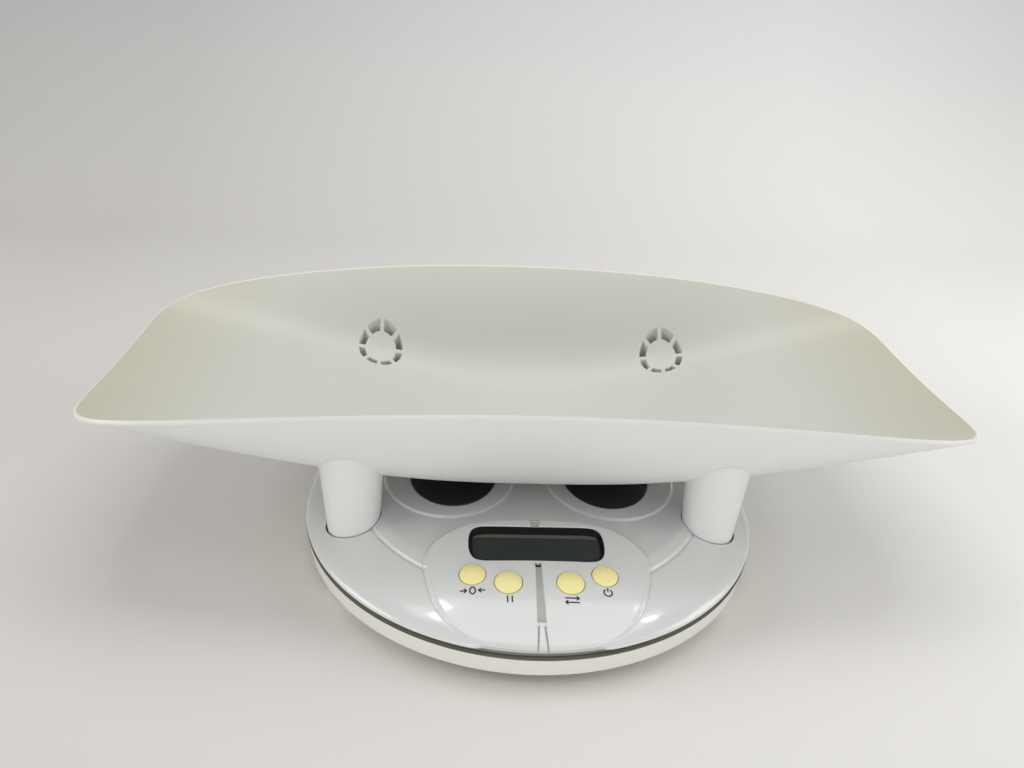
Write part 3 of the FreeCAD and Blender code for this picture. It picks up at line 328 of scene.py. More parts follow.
def newMaterial(name):
    material = bpy.data.materials.new(name)
    material.use_nodes = True
    tree = material.node_tree
    tree.nodes.clear()
    return material, tree, addNode(tree, "ShaderNodeTexCoord").outputs["Object"]


def mouldedPlastic(name, colour, roughness, grain, depth, drift=0.03, spread=0.04, coat=0.0,
                   shadeAboveLevel=None, shadeAtEnds=None, ior=1.5):
    # injection moulded plastic: an even colour that drifts a little with wall thickness,
    # a fine spark-eroded grain and patches that are slightly more polished; the two
    # optional colours are painted shade, one above a level in Z and one towards both ends of X
    material, tree, place = newMaterial(name)
    cloud = addNode(tree, "ShaderNodeTexNoise", {"Vector": place, "Scale": 1 / (90 * milli),
                                                 "Detail": 2.0, "Roughness": 0.4})
    tint = addNode(tree, "ShaderNodeMix", {
        "Factor": cloud.outputs["Fac"],
        6: [value * (1 - drift) for value in linear(colour)[:3]] + [1],
        7: [min(1, value * (1 + drift)) for value in linear(colour)[:3]] + [1]},
        data_type="RGBA")
    # blend in the painted shade colours
    for over, axis in ((shadeAboveLevel, "Z"), (shadeAtEnds, "X")):
        if over:
            spot = addNode(tree, "ShaderNodeSeparateXYZ", {"Vector": place})
            reach = addNode(tree, "ShaderNodeMath", {0: spot.outputs[axis]}, operation="ABSOLUTE")
            share = addNode(tree, "ShaderNodeMapRange", {
                "Value": reach.outputs[0], "From Min": over[1] * milli,
                "From Max": over[2] * milli})
            tint = addNode(tree, "ShaderNodeMix", {
                "Factor": share.outputs[0], 6: tint.outputs[2], 7: linear(over[0])},
                data_type="RGBA")
    wear = addNode(tree, "ShaderNodeTexNoise", {"Vector": place, "Scale": 1 / (25 * milli),
                                                "Detail": 4.0, "Roughness": 0.6})
    polish = addNode(tree, "ShaderNodeMapRange", {
        "Value": wear.outputs["Fac"], "To Min": roughness - spread, "To Max": roughness + spread})
    grains = addNode(tree, "ShaderNodeTexNoise", {"Vector": place, "Scale": 1 / (grain * milli),
                                                  "Detail": 2.0, "Roughness": 0.55})
    bump = addNode(tree, "ShaderNodeBump", {"Height": grains.outputs["Fac"], "Strength": 0.35,
                                            "Distance": depth * milli})
    shader = addNode(tree, "ShaderNodeBsdfPrincipled", {
        "Base Color": tint.outputs[2], "Roughness": polish.outputs[0],
        "Normal": bump.outputs[0], "IOR": ior, "Coat Weight": coat, "Coat Roughness": 0.08})
    addNode(tree, "ShaderNodeOutputMaterial", {"Surface": shader.outputs[0]})
    return material


def metal(name, colour, roughness, stretch, depth):
    # metal with a fine directional or tumbled grain; the pattern is drawn out along X
    material, tree, place = newMaterial(name)
    drawn = addNode(tree, "ShaderNodeMapping", {"Vector": place, "Scale": stretch})
    lines = addNode(tree, "ShaderNodeTexNoise", {"Vector": drawn.outputs[0],
                                                 "Scale": 1 / (0.6 * milli), "Detail": 3.0})
    cloud = addNode(tree, "ShaderNodeTexNoise", {"Vector": place, "Scale": 1 / (8 * milli)})
    tint = addNode(tree, "ShaderNodeMix", {
        "Factor": cloud.outputs["Fac"], 6: linear(colour),
        7: [value * 0.86 for value in linear(colour)[:3]] + [1]}, data_type="RGBA")
    polish = addNode(tree, "ShaderNodeMapRange", {
        "Value": lines.outputs["Fac"], "To Min": roughness - 0.08, "To Max": roughness + 0.08})
    bump = addNode(tree, "ShaderNodeBump", {"Height": lines.outputs["Fac"], "Strength": 0.3,
                                            "Distance": depth * milli})
    shader = addNode(tree, "ShaderNodeBsdfPrincipled", {
        "Base Color": tint.outputs[2], "Roughness": polish.outputs[0], "Metallic": 1.0,
        "Normal": bump.outputs[0]})
    addNode(tree, "ShaderNodeOutputMaterial", {"Surface": shader.outputs[0]})
    return material


def darkPane(name):
    # tinted acrylic over a switched-off liquid crystal: dark grey-green, mirror smooth
    material, tree, place = newMaterial(name)
    cloud = addNode(tree, "ShaderNodeTexNoise", {"Vector": place, "Scale": 1 / (30 * milli)})
    tint = addNode(tree, "ShaderNodeMix", {
        "Factor": cloud.outputs["Fac"], 6: linear("#182220"), 7: linear("#1d2826")},
        data_type="RGBA")
    shader = addNode(tree, "ShaderNodeBsdfPrincipled", {
        "Base Color": tint.outputs[2], "Roughness": 0.1, "IOR": 1.49})
    addNode(tree, "ShaderNodeOutputMaterial", {"Surface": shader.outputs[0]})
    return material


# one moulding of one colour, in lit and shaded copies: the outside shows the plain colour,
# the bowl is painted darker and yellower as shade, more so towards the ends, and the rim's
# top edge is a creamier painted highlight; a skin's finish is the place in such a list
trayFinishes = [
    mouldedPlastic("polystyrene bowl painted shade", "#dadcd3", 0.40, 0.9, 0.02, 0.035,
                   shadeAtEnds=("#cfc8b5", 190, 285)),
    mouldedPlastic("polystyrene moulded outside", "#e0e1e0", 0.42, 0.9, 0.02, 0.02),
    mouldedPlastic("polystyrene rim painted highlight", "#f1eddc", 0.36, 0.9, 0.01, 0.02),
]
coverFinishes = [
    mouldedPlastic("ABS moulded gloss", "#dcdddc", 0.26, 1.6, 0.006, 0.015, 0.03, 0.9),
    # painted shade: grey on the shallow channel floors, black in the deep start below the display
    mouldedPlastic("ABS channel painted shade grey", "#c6c6c2", 0.4, 0.8, 0.01, 0.03),
    mouldedPlastic("ABS channel painted shadow black", "#2c3030", 0.4, 0.8, 0.01, 0.03),
    # painted shade: a darker grey for the cover's underside and skirt in the gap
    mouldedPlastic("ABS underside painted shade", "#8e8d86", 0.6, 0.7, 0.03, 0.06),
]
# painted shade: the housing turns olive grey above 18.55 mm, on the ledge under the cover's lip
baseAbs = mouldedPlastic("ABS moulded matt", "#dfdfd8", 0.55, 0.7, 0.05, 0.03, 0.04, 0.0,
                         ("#858376", 18.55, 18.9))
padRubber = mouldedPlastic("nitrile rubber moulded", "#20222b", 0.48, 0.6, 0.06, 0.12)
frameAbs = mouldedPlastic("ABS moulded black", "#070909", 0.55, 0.9, 0.01, 0.06, ior=1.3)
# a lighter olive for the ledge behind the pane: a painted highlight on the black moulding
frameHighlight = mouldedPlastic("ABS olive painted highlight", "#54594a", 0.4, 0.9, 0.01, 0.06)
buttonRubber = mouldedPlastic("silicone moulded yellow", "#fff3ac", 0.42, 0.7, 0.03, 0.03)
labelInk = mouldedPlastic("pad printed ink", "#1b1d21", 0.5, 0.4, 0.01, 0.1)
footRubber = mouldedPlastic("natural rubber moulded", "#2a2a2c", 0.7, 0.8, 0.08, 0.1)
boardMask = mouldedPlastic("solder mask printed", "#1f6a3c", 0.35, 2.0, 0.02, 0.1)
chipEpoxy = mouldedPlastic("epoxy transfer moulded", "#1d1d20", 0.6, 0.3, 0.02, 0.1)
stripRubber = mouldedPlastic("silicone extruded grey", "#78797b", 0.6, 0.5, 0.02)
wireVinyl = mouldedPlastic("vinyl extruded red", "#a82822", 0.45, 0.8, 0.01)
batteryWrap = mouldedPlastic("tinplate lacquered", "#2b3340", 0.3, 3.0, 0.01, 0.08)
screwSteel = metal("steel zinc plated", "#c2c3c6", 0.35, (1, 1, 1), 0.01)
sheetSteel = metal("steel sheet rolled", "#c4c7ca", 0.38, (0.04, 1, 1), 0.01)
beamAluminium = metal("aluminium milled", "#d5d6d8", 0.33, (1, 0.05, 1), 0.01)
paneAcrylic = darkPane("acrylic polished over glass")

nodeFinishes = {
    "base_housing": baseAbs, "battery_door": baseAbs, "display_frame": frameAbs,
    "display_window": paneAcrylic, "display_glass": frameAbs, "display_connector": stripRubber,
    "main_board": boardMask, "controller_chip": chipEpoxy, "board_parts": chipEpoxy,
    "switch_bodies": chipEpoxy, "board_screws": screwSteel, "load_plate_screws": screwSteel,
    "cell_upper_screws": screwSteel, "cell_lower_screws": screwSteel,
    "mounting_plate_screws": screwSteel, "overload_stops": screwSteel,
    "load_plate": sheetSteel, "mounting_plate": sheetSteel,
    "cell_upper_spacer": beamAluminium, "cell_lower_spacer": beamAluminium,
    "load_cell": beamAluminium, "battery": batteryWrap, "battery_snap": chipEpoxy,
    "battery_leads": wireVinyl, "cell_leads": wireVinyl,
}
footNames = sorted(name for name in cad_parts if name.startswith("rubber_foot"))
nodeFinishes.update(dict.fromkeys(footNames, footRubber))
for name, finish in nodeFinishes.items():
    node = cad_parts[name]
    node.data.materials.clear()
    node.data.materials.append(finish)
print("materials made")


# tray: a pillow-shaped cradle whose rim droops towards the ends, on four hollow legs

tray = {
    "halfLength": 279.5, "halfWidth": 127.49, "wall": 3.0, "depth": 82.6,
    "endPower": 2.82, "sidePowers": (7.35, 7.65), "bowlPower": 0.585,
    "droop": 24.7, "droopPower": 2.05, "tipDroop": 7.4, "tipPower": 6.0,
    "centre": (0.0, 32.8), "rimLevel": 131.0, "edgeRadius": 1.15, "gridPitch": 4.5,
    "legX": 112.9, "legY": 90.45, "footRadius": 15.6, "taper": 0.075, "footLevel": 21.0,
    "webLevel": 58.5, "legWall": 1.6, "rootFillet": 0.8, "slotOuter": 17.2, "slotInner": 12.15,
    "spokes": 8, "spokeWidth": 2.9, "discShift": 1.2, "slotEdge": 0.45, "slotDraft": 0.93,
    "coreRadius": 10.2, "coreSkin": 3.6, "slotCorner": 0.5, "slotBulge": 0.28,
    "footRise": (0.5, 0.15, 0.0), "footInset": (0.12, 0.5),  # rows of the leg's rounded foot
    "rimPitch": 3.4, "rimSteps": 6, "rimInset": 0.01,
    "gaps": (2.0, 3.2, 0.5),  # least spacing of points: inside, outside, web
    # rings of points that the mesh follows: in from the rim, about each leg and in each disc
    "rimRings": (3, 5.5, 8.5, 12, 16, 20.5, 25), "gridInset": 27, "legRings": (19.2, 21.5, 25.0),
    "discRings": ((10.4, 32), (7.0, 20)), "coreRings": (7.0, 3.5, 0.0),
}
legs = [np.array([sideX * tray["legX"], tray["centre"][1] + sideY * tray["legY"]])
        for sideX in (-1, 1) for sideY in (-1, 1)]


def trayLevel(x, y):
    across = np.abs(x - tray["centre"][0]) / tray["halfLength"]
    signed = (y - tray["centre"][1]) / tray["halfWidth"]
    along = np.abs(signed)
    power = np.where(signed < 0, *tray["sidePowers"])
    fill = across ** tray["endPower"] + along ** power
    return (tray["rimLevel"] - tray["droop"] * across ** tray["droopPower"]
            - tray["tipDroop"] * across ** tray["tipPower"] * (1 - along * along)
            - tray["depth"] * (1 - fill ** tray["bowlPower"]))


def legRadius(level):
    return tray["footRadius"] + tray["taper"] * (level - tray["footLevel"])


def softCorner(before, corner, after):
    # three points that round a corner
    toward = unit(before - corner) * tray["slotCorner"]
    away = unit(after - corner) * tray["slotCorner"]
    return [corner + toward, corner + (toward + away) * tray["slotBulge"], corner + away]


def slotLoop(number, legCentre, discCentre):
    # one slot between two spokes, a round disc and the leg's wall, anticlockwise
    half = tray["spokeWidth"] / 2
    step = 2 * math.pi / tray["spokes"]
    low, high = number * step, (number + 1) * step
    lean = math.asin(half / tray["slotInner"])

    def outerPoint(angle, side):
        along = ray(angle)
        start = discCentre + np.array([-along[1], along[0]]) * half * side
        offset = start - legCentre
        reach = along @ offset
        return start + along * (
            math.sqrt(reach ** 2 - offset @ offset + tray["slotOuter"] ** 2) - reach)

    start, end = outerPoint(low, 1), outerPoint(high, -1)
    first = math.atan2(*(start - legCentre)[::-1])
    last = math.atan2(*(end - legCentre)[::-1])
    if last < first:
        last += 2 * math.pi
    outerArc = [legCentre + tray["slotOuter"] * ray(a) for a in np.linspace(first, last, 11)]
    ring = outerArc + [discCentre + tray["slotInner"] * ray(a)
                       for a in np.linspace(high - lean, low + lean, 8)]
    corners = {0, len(outerArc) - 1, len(outerArc), len(ring) - 1}
    loop = []
    for here, point in enumerate(ring):
        before, after = ring[here - 1], ring[(here + 1) % len(ring)]
        loop += softCorner(before, point, after) if here in corners else [point]
    return np.array(loop)


def addTrayRim(skin, rim):
    # a quarter round at the inner edge and another at the outer edge; gives the end rows
    wall, edge, steps = tray["wall"], tray["edgeRadius"], tray["rimSteps"]
    points = lifted(rim + tray["centre"], trayLevel)
    # normals are taken just inside the rim, where the surface is less steep
    normals = slopeNormals(trayLevel, rim * 0.9995 + tray["centre"])
    along = unit(np.roll(points, -1, 0) - np.roll(points, 1, 0))
    outside = unit(np.cross(along, normals))
    rows, facings = [], []
    for cos, sin in quarter(steps):
        facings.append(cos * normals + sin * outside)
        rows.append(points - edge * (normals + outside) + edge * facings[-1])
    for cos, sin in quarter(steps):
        facings.append(cos * outside - sin * normals)
        rows.append(points - (wall - edge) * normals - edge * outside + edge * facings[-1])
    # the inner round takes the creamier rim colour, a painted highlight along the top edge
    skin.finish = 2
    skin.strip(rows[:steps][::-1], facings[:steps][::-1])
    skin.finish = 1
    skin.strip(rows[steps - 1:][::-1], facings[steps - 1:][::-1])
    return rows[0], rows[-1]


def makeTray():
    skin, centre = Skin(), np.array(tray["centre"])
    rim = pillow(tray["halfLength"] - tray["rimInset"], tray["halfWidth"] - tray["rimInset"],
                 tray["endPower"], tray["sidePowers"], tray["rimPitch"])
    away = outward(rim)
    topRow, underRow = addTrayRim(skin, rim)
    skin.finish = 0

    # plan points: rings that follow the rim and the legs, then an even grid
    extra = [rim + centre - away * depth for depth in tray["rimRings"]]
    inner = rim + centre - away * tray["gridInset"]
    grid = hexGrid(inner.min(0), inner.max(0), tray["gridPitch"])
    holes, roots = [], []
    for leg in legs:
        disc = leg + np.array([0, math.copysign(tray["discShift"], centre[1] - leg[1])])
        slots = [slotLoop(number, leg, disc) for number in range(tray["spokes"])]
        holes += [slot + outward(slot) * tray["slotEdge"] for slot in slots]
        extra += [circle(leg, radius, 48) for radius in tray["legRings"]]
        extra += [circle(disc, *ring) for ring in tray["discRings"]]
        addSlots(skin, slots, leg, disc)
        roots.append(legRoot(leg))
    extra = np.concatenate(extra + [grid[insideLoop(grid, inner)]])

    # inner face, in the bowl colour that carries the painted shade
    plan, triangles = planMesh(topRow, holes, extra, tray["gaps"][0])
    points = lifted(plan, trayLevel)
    points[:len(topRow)] = topRow
    skin.sheet(triangles, points, slopeNormals(trayLevel, plan))

    # outer face, a wall's thickness along the normals, with a round hole for each leg
    skin.finish = 1
    plan, triangles = planMesh(topRow, roots, extra, tray["gaps"][1])
    points = underPoint(plan)
    points[:len(topRow)] = underRow
    skin.sheet(triangles, points, -slopeNormals(trayLevel, plan), down=True)
    for leg, root in zip(legs, roots):
        addLeg(skin, leg, root)
    return skin


def underPoint(plan):
    return lifted(plan, trayLevel) - tray["wall"] * slopeNormals(trayLevel, plan)


def legRoot(leg):
    # inner-face plan points whose outer-face points lie in a circle round the leg
    level = float(underPoint(leg[None])[0, 2])
    target = circle(leg, legRadius(level) + tray["rootFillet"], 64)
    plan = target.copy()
    for _ in range(12):
        plan += target - underPoint(plan)[:, :2]
    return plan


def addSlots(skin, slots, leg, disc):
    low = tray["webLevel"]
    feet = []
    for slot in slots:
        rows, facings, into = mouthRows(slot, outward(slot), trayLevel, tray["slotEdge"])
        foot = flat(leg + (slot - leg) * tray["slotDraft"], low)
        skin.strip(rows + [foot], facings + [into])
        feet.append(foot[:, :2])
    # web inside the leg: a flat floor with the slots and the core hole
    core = circle(disc, tray["coreRadius"], 32)
    bore = circle(leg, legRadius(low) - tray["legWall"], 48)
    plan, triangles = planMesh(bore, feet + [core], np.zeros((0, 2)), tray["gaps"][2])
    skin.sheet(triangles, flat(plan, low), np.tile((0, 0, -1.0), (len(plan), 1)), down=True)
    # core under the disc
    ring = lifted(core, trayLevel) - (0, 0, tray["coreSkin"])
    skin.strip([ring, flat(core, low)])
    facing = np.tile((0, 0, -1.0), (len(ring), 1))
    for radius in tray["coreRings"]:
        smaller = lifted(circle(disc, radius, 32), trayLevel) - (0, 0, tray["coreSkin"])
        skin.strip([smaller, ring], [facing, facing])
        ring = smaller


def addLeg(skin, leg, root):
    start = underPoint(root)
    away = unit(start[:, :2] - leg)
    fillet = tray["rootFillet"]
    bend = leg + away * legRadius(start[:, 2].mean())
    for _ in range(4):
        inner = root + (bend - start[:, :2])
        level = underPoint(inner)[:, 2]
        bend = leg + away * legRadius(level)[:, None]
    corner = np.column_stack([bend, level])
    low = level - fillet
    end = np.column_stack([leg + away * legRadius(low)[:, None], low])
    rows = [(1 - t) ** 2 * start + 2 * t * (1 - t) * corner + t * t * end
            for t in np.linspace(0, 1, 8)]
    # the cone below the fillet, the rounded foot and the bore
    foot, rises = tray["footLevel"], tray["footRise"]
    for share in np.linspace(0, 1, 7)[1:]:
        height = low + (foot + rises[0] - low) * share
        rows.append(np.column_stack([leg + away * legRadius(height)[:, None], height]))
    skin.strip(rows[::-1])
    outer = legRadius(foot)
    radii = [legRadius(foot + rises[0])] + [outer - inset for inset in tray["footInset"]]
    footRows = [flat(leg + away * radius, foot + rise) for radius, rise in zip(radii, rises)]
    skin.strip(footRows[::-1])
    bore = leg + away * (outer - tray["legWall"])
    skin.strip([flat(bore, foot), footRows[-1]])
    web = tray["webLevel"]
    topRing = flat(circle(leg, legRadius(web) - tray["legWall"], 48), web)
    stitch(skin, flat(bore, foot), topRing, leg)


def stitch(skin, lowRing, topRing, axis):
    # wall between two rings with different counts, facing the axis; where two corners are
    # equally far round, the low ring steps first
    def normal(point):
        toward = axis - point[:2]
        return np.append(toward / np.linalg.norm(toward), 0)

    def inTurn(ring):
        # the ring's points from +X round, with how far round they are
        turns = np.round(np.arctan2(ring[:, 1] - axis[1], ring[:, 0] - axis[0]), 6) % (2 * math.pi)
        return ring[np.argsort(turns)], np.sort(turns)

    low, top = 0, 0
    lowRing, lowTurns = inTurn(lowRing)
    topRing, topTurns = inTurn(topRing)
    while low < len(lowRing) or top < len(topRing):
        here, above = lowRing[low % len(lowRing)], topRing[top % len(topRing)]
        nextLow = lowTurns[(low + 1) % len(lowRing)] + 2 * math.pi * ((low + 1) // len(lowRing))
        nextTop = topTurns[(top + 1) % len(topRing)] + 2 * math.pi * ((top + 1) // len(topRing))
        if top >= len(topRing) or (low < len(lowRing) and nextLow <= nextTop + 1e-5):
            ahead = lowRing[(low + 1) % len(lowRing)]
            low += 1
        else:
            ahead = topRing[(top + 1) % len(topRing)]
            top += 1
        corners = (here, above, ahead)
        skin.face(corners, [normal(point) for point in corners])


traySkin = makeTray()
traySkin.piece("cradle_tray", trayFinishes, "tray", "tray_white", "tray")
print("tray made,", len(traySkin.faces), "faces")


# platform cover: a low dome with a stepped crown, plateaus for the feet and a raised panel

platform = {
    "radius": 148.0, "axis": (0.0, -15.05), "corner": (99.0, 108.0), "cornerRadius": 46.0,
    "edgeLevel": 24.2, "lip": 1.7, "wall": 2.5, "rise": 1.25, "power": 0.62,
    "stepInset": 35.0, "stepRise": 1.0, "stepHalf": 0.45, "crownInset": 42.0, "gridPitch": 3.4,
    "stepPitch": 1.6, "crownPitch": 2.5, "padPitch": 1.8,
    "skirt": (3.6, 5.4), "skirtLevel": 15.0, "round": 0.3, "holeEdge": 0.4, "wellEdge": 0.5,
    "wellPlay": 0.8, "wellWall": 2.0, "wellFloor": 20.8, "mouthLevel": 33.0,
    "plateauX": 54.0, "plateauHalf": 44.0, "plateauNose": 50.0, "plateauRise": 1.3,
    "plateauEdge": (0.3, 1.6),  # how far the edge starts outside the oval, and its width
    "padX": 51.5, "padHalf": 29.0, "padNose": 38.0, "padDepth": 1.2, "padEdge": 0.12,
    "padFront": -11.0, "padRear": 70.0, "padGap": 0.15, "creaseDepth": 0.55, "creaseHalf": 0.8,
    # rows of the rim's edge, then rings of points that the mesh follows: in from the rim, and
    # about the step, the plateaus and the pads
    "rimRows": (0.8, 0.3, 0.08, 0.0), "rimRings": (1.4, 2.2, 3.4, 5.0, 7.5, 10.5, 14.0),
    "stepRings": (-2.85, -2.05, -1.25, -0.45, -0.15, 0.15, 0.45, 1.3),
    "plateauRings": (-2.2, -1.5, -1.1, -0.8, -0.5, -0.2, 0.3, 0.8),
    "padRings": (-0.5, -0.12, 0.12, 0.6), "gridInset": 15.0,
    "gaps": (0.22, 1.0),  # least spacing of points: top face, hollow
    "sunk": ((0, 0.8), (0.8, 2), (2, 9)),  # depths that take the gloss, the grey of painted shade and the black of painted shadow
}
island = {
    "base": 0.7, "rise": 17.7, "reach": 120.0, "power": 3.2, "edgeWidth": 3.2,
    "half": [(24, -166), (43.5, -152.5), (56.5, -136), (63.5, -116.5), (65.6, -102),
             (61.6, -88.5), (54, -80), (44, -73), (24, -68)],
    "rear": -66.6, "frontLift": 1.4, "liftReach": 13.0, "liftHalf": 38.0, "liftFade": 6.0,
    "undercut": 1.5,
    # sunk bands: start and end in Y, inner and outer edges at both ends, depth
    "bands": [(-106.2, -147.0, (-2, -2), (1.7, 2.5), 1.6),
              (-106.2, -108.6, (-2, -2), (1.7, 1.8), 2.3),
              (-149.0, -165.0, (1.1, 2.7), (2.3, 3.2), 1.4),
              (-67.8, -74.0, (-2, -2), (3.4, 2.0), 1.2)],
    "bandEdge": 0.3, "bead": 0.22, "beadPlace": 0.8, "beadHalf": 0.9, "beadFade": (-158, -128),
    "rut": 0.35, "rutPlace": -1.2, "rutHalf": 0.7,
    # offsets of points along the edge, and steps along the cover's front, closer at the fork
    "bandRings": (-0.45, -0.15, 0.15, 0.45), "bandPitch": 1.6,
    "edgeRings": (-2.6, -2.0, -1.6, -1.25, -0.9, -0.5, -0.1, 0.3, 0.7, 1.0, 1.3, 1.7, 2.2, 3.0),
    "frontSteps": (0, 1.2, 2.0, 2.4, 2.7, 3.0, 3.3, 3.7, 4.8), "frontHalf": 6.0,
}
display = {
    "place": (0.0, -89.5, 41.8), "tilt": 4.0, "half": (40.8, 15.6), "powers": (13.0, 2.2, 2.7),
    "pitch": 1.2, "paneLevel": -4.3, "paneFoot": -5.58, "chamfer": 0.2, "play": 0.1,
    "paneMesh": (6.0, 2.0),
}
buttons = {
    "button_zero": (-38.2, -115.2, 7.5), "button_hold": (-17.8, -121.5, 7.9),
    "button_unit": (17.8, -121.5, 7.9), "button_power": (38.2, -115.2, 7.5),
}
buttonForm = {"gap": 0.35, "crown": 2.5, "edge": 0.3, "flange": 1.3, "flangeTop": -3.1,
              "flangeFoot": -4.0, "stem": 1.8, "stemFoot": -4.5, "dome": (0.12, 0.93, 9),
              "shoulder": ((0.18, 0.12), (0.0, -0.35))}


def sideDirection():
    run = np.array(platform["corner"]) - platform["axis"]
    lean = math.atan2(run[1], run[0]) - math.acos(
        (platform["radius"] - platform["cornerRadius"]) / np.linalg.norm(run))
    return ray(lean)


side = sideDirection()


def platformInset(x, y):
    # distance in from the platform's plan outline
    x = np.abs(x)
    fromAxis = np.stack([x - platform["axis"][0], y - platform["axis"][1]])
    fromCorner = np.stack([x - platform["corner"][0], y - platform["corner"][1]])
    ahead = np.array([-side[1], side[0]])
    flank = platform["radius"] - side @ fromAxis.reshape(2, -1)
    front = platform["radius"] - np.hypot(*fromAxis).ravel()
    sideDistance = np.where(ahead @ fromAxis.reshape(2, -1) < 0, front, flank)
    rearDistance = (platform["corner"][1] + platform["cornerRadius"] - y).ravel()
    inset = np.minimum(sideDistance, rearDistance)
    atCorner = (fromCorner[0].ravel() > 0) & (ahead @ fromCorner.reshape(2, -1) > 0)
    cornerDistance = platform["cornerRadius"] - np.hypot(*fromCorner).ravel()
    return np.where(atCorner, cornerDistance, inset).reshape(np.shape(x))


def platformLoop(inset, pitch=3.0):
    # plan outline moved in by inset, anticlockwise
    axis, corner = np.array(platform["axis"]), np.array(platform["corner"])
    big, small = platform["radius"] - inset, platform["cornerRadius"] - inset
    lean = math.atan2(side[1], side[0])
    right = np.array([axis + big * ray(a) for a in np.linspace(-math.pi / 2, lean, 400)]
                     + [corner + small * ray(a) for a in np.linspace(lean, math.pi / 2, 120)])
    return evenly(np.concatenate([right, right[:0:-1] * (-1, 1)]), pitch)


def curveThrough(points, count):
    # smooth open curve through points, with a chord-length parameter
    points = np.array(points, float)
    knots = np.concatenate([[0], np.cumsum(np.linalg.norm(np.diff(points, axis=0), axis=1))])
    tangents = np.gradient(points, knots, axis=0)
    made = []
    for place in np.linspace(0, knots[-1], count):
        here = min(np.searchsorted(knots, place, "right") - 1, len(points) - 2)
        span = knots[here + 1] - knots[here]
        t = (place - knots[here]) / span
        made.append((2 * t ** 3 - 3 * t ** 2 + 1) * points[here]
                    + (t ** 3 - 2 * t ** 2 + t) * span * tangents[here]
                    + (3 * t ** 2 - 2 * t ** 3) * points[here + 1]
                    + (t ** 3 - t ** 2) * span * tangents[here + 1])
    return np.array(made)


islandPoints = (island["half"] + [(0, island["rear"])]
                + [(-x, y) for x, y in island["half"][::-1]])
islandEdge = curveThrough(islandPoints, 240)


def islandDepth(x, y):
    # distance inside the island's plan outline, negative outside
    points = np.stack([np.ravel(x), np.ravel(y)], 1)
    start, end = islandEdge[:-1], islandEdge[1:]
    run = end - start
    best = np.full(len(points), 1e9)
    for chunk in range(0, len(points), 4000):
        part = points[chunk:chunk + 4000, None]
        share = ((part - start) * run).sum(2) / (run ** 2).sum(1)
        nearest = start + np.clip(share, 0, 1)[..., None] * run
        best[chunk:chunk + 4000] = np.sqrt(((part - nearest) ** 2).sum(2)).min(1)
    inside = insideLoop(points, islandEdge)
    return np.where(inside, best, -best).reshape(np.shape(x))


def frontInset(x, y):
    return platform["radius"] - np.hypot(x - platform["axis"][0], y - platform["axis"][1])


def islandHeight(x, y):
    left = np.clip(1 - frontInset(x, y) / island["reach"], 0, None)
    return platform["edgeLevel"] + island["base"] + island["rise"] * (
        1 - left ** island["power"])


def frontLift(x, y):
    # the panel's front edge stands a little higher than the rest of the cover's edge
    return island["frontLift"] * (1 - smoothStep(frontInset(x, y) / island["liftReach"])) * (y < 0)


def bandDepth(x, y):
    # depth of the centre groove, the fork that follows it and the notch behind the display
    edge = island["bandEdge"]
    deepest = np.zeros(np.shape(x))
    for start, end, inner, outer, depth in island["bands"]:
        along = np.clip((y - start) / (end - start), 0, 1)
        low = inner[0] + (inner[1] - inner[0]) * along
        high = outer[0] + (outer[1] - outer[0]) * along
        across = smoothStep((high - np.abs(x)) / edge + 0.5) * smoothStep(
            (np.abs(x) - low) / edge + 0.5)
        ends = smoothStep((start - y) / edge + 0.5) * smoothStep((y - end) / edge + 0.5)
        deepest = np.maximum(deepest, depth * across * ends)
    return deepest


def bandPoints():
    # plan points along both edges of each band and across its ends
    points = []
    for start, end, inner, outer, _ in island["bands"]:
        for offset in island["bandRings"]:
            for along in np.linspace(0, 1, max(4, round((start - end) / island["bandPitch"]))):
                y = start + (end - start) * along
                for edges in (inner, outer):
                    x = edges[0] + (edges[1] - edges[0]) * along + offset
                    points += [(x, y), (-x, y)] if x > 0 else []
            for place, edges in ((start, outer[0]), (end, outer[1])):
                points += [(x, place + offset) for x in np.linspace(-edges, edges, 8)]
    return np.array(points)


def ovalDepth(x, y, centre, half, nose):
    # distance inside the long oval of a plateau or a pad
    across = (np.abs(x) - centre) / half
    beyond = np.maximum(np.maximum(platform["padFront"] - y, y - platform["padRear"]), 0.0)
    along = beyond / nose
    reach = np.sqrt(across ** 2 + along ** 2)
    steep = np.sqrt((across / half) ** 2 + (along / nose) ** 2)
    return (1 - reach) * reach / np.maximum(steep, 1e-6)


def coverLevel(x, y):
    inset = np.maximum(platformInset(x, y), 0)
    level = platform["edgeLevel"] + platform["rise"] * np.minimum(
        inset, platform["crownInset"]) ** platform["power"]
    past = inset - platform["stepInset"]
    step, half = platform["stepHalf"], platform["creaseHalf"]
    level = level + platform["stepRise"] * smoothStep((past + step) / (2 * step))
    level = level - platform["creaseDepth"] * np.clip(1 - np.abs(past + step + half) / half, 0, 1)
    plateau = ovalDepth(x, y, platform["plateauX"], platform["plateauHalf"],
                        platform["plateauNose"])
    start, width = platform["plateauEdge"]
    level = level + platform["plateauRise"] * smoothStep((plateau + start) / width)
    pad = ovalDepth(x, y, platform["padX"], platform["padHalf"], platform["padNose"])
    edge = platform["padEdge"]
    level = level - platform["padDepth"] * smoothStep((pad + edge) / (2 * edge))
    depth = islandDepth(x, y)
    share = smoothStep((depth + island["edgeWidth"] / 2) / island["edgeWidth"])
    raised = islandHeight(x, y) + frontLift(x, y)
    level = level + (np.maximum(raised, level) - level) * share
    # a fine bead along the panel's edge and a rut outside it, both lost towards the front
    low, high = island["beadFade"]
    fade = smoothStep((y - low) / (high - low))
    for name, sign in (("bead", 1), ("rut", -1)):
        ridge = smoothStep(1 - np.abs(depth - island[name + "Place"]) / island[name + "Half"])
        level = level + island[name] * ridge * fade * sign
    return level - bandDepth(x, y)


def displayMatrix():
    return Matrix.Translation(display["place"]) @ Matrix.Rotation(
        math.radians(display["tilt"]), 4, "X")


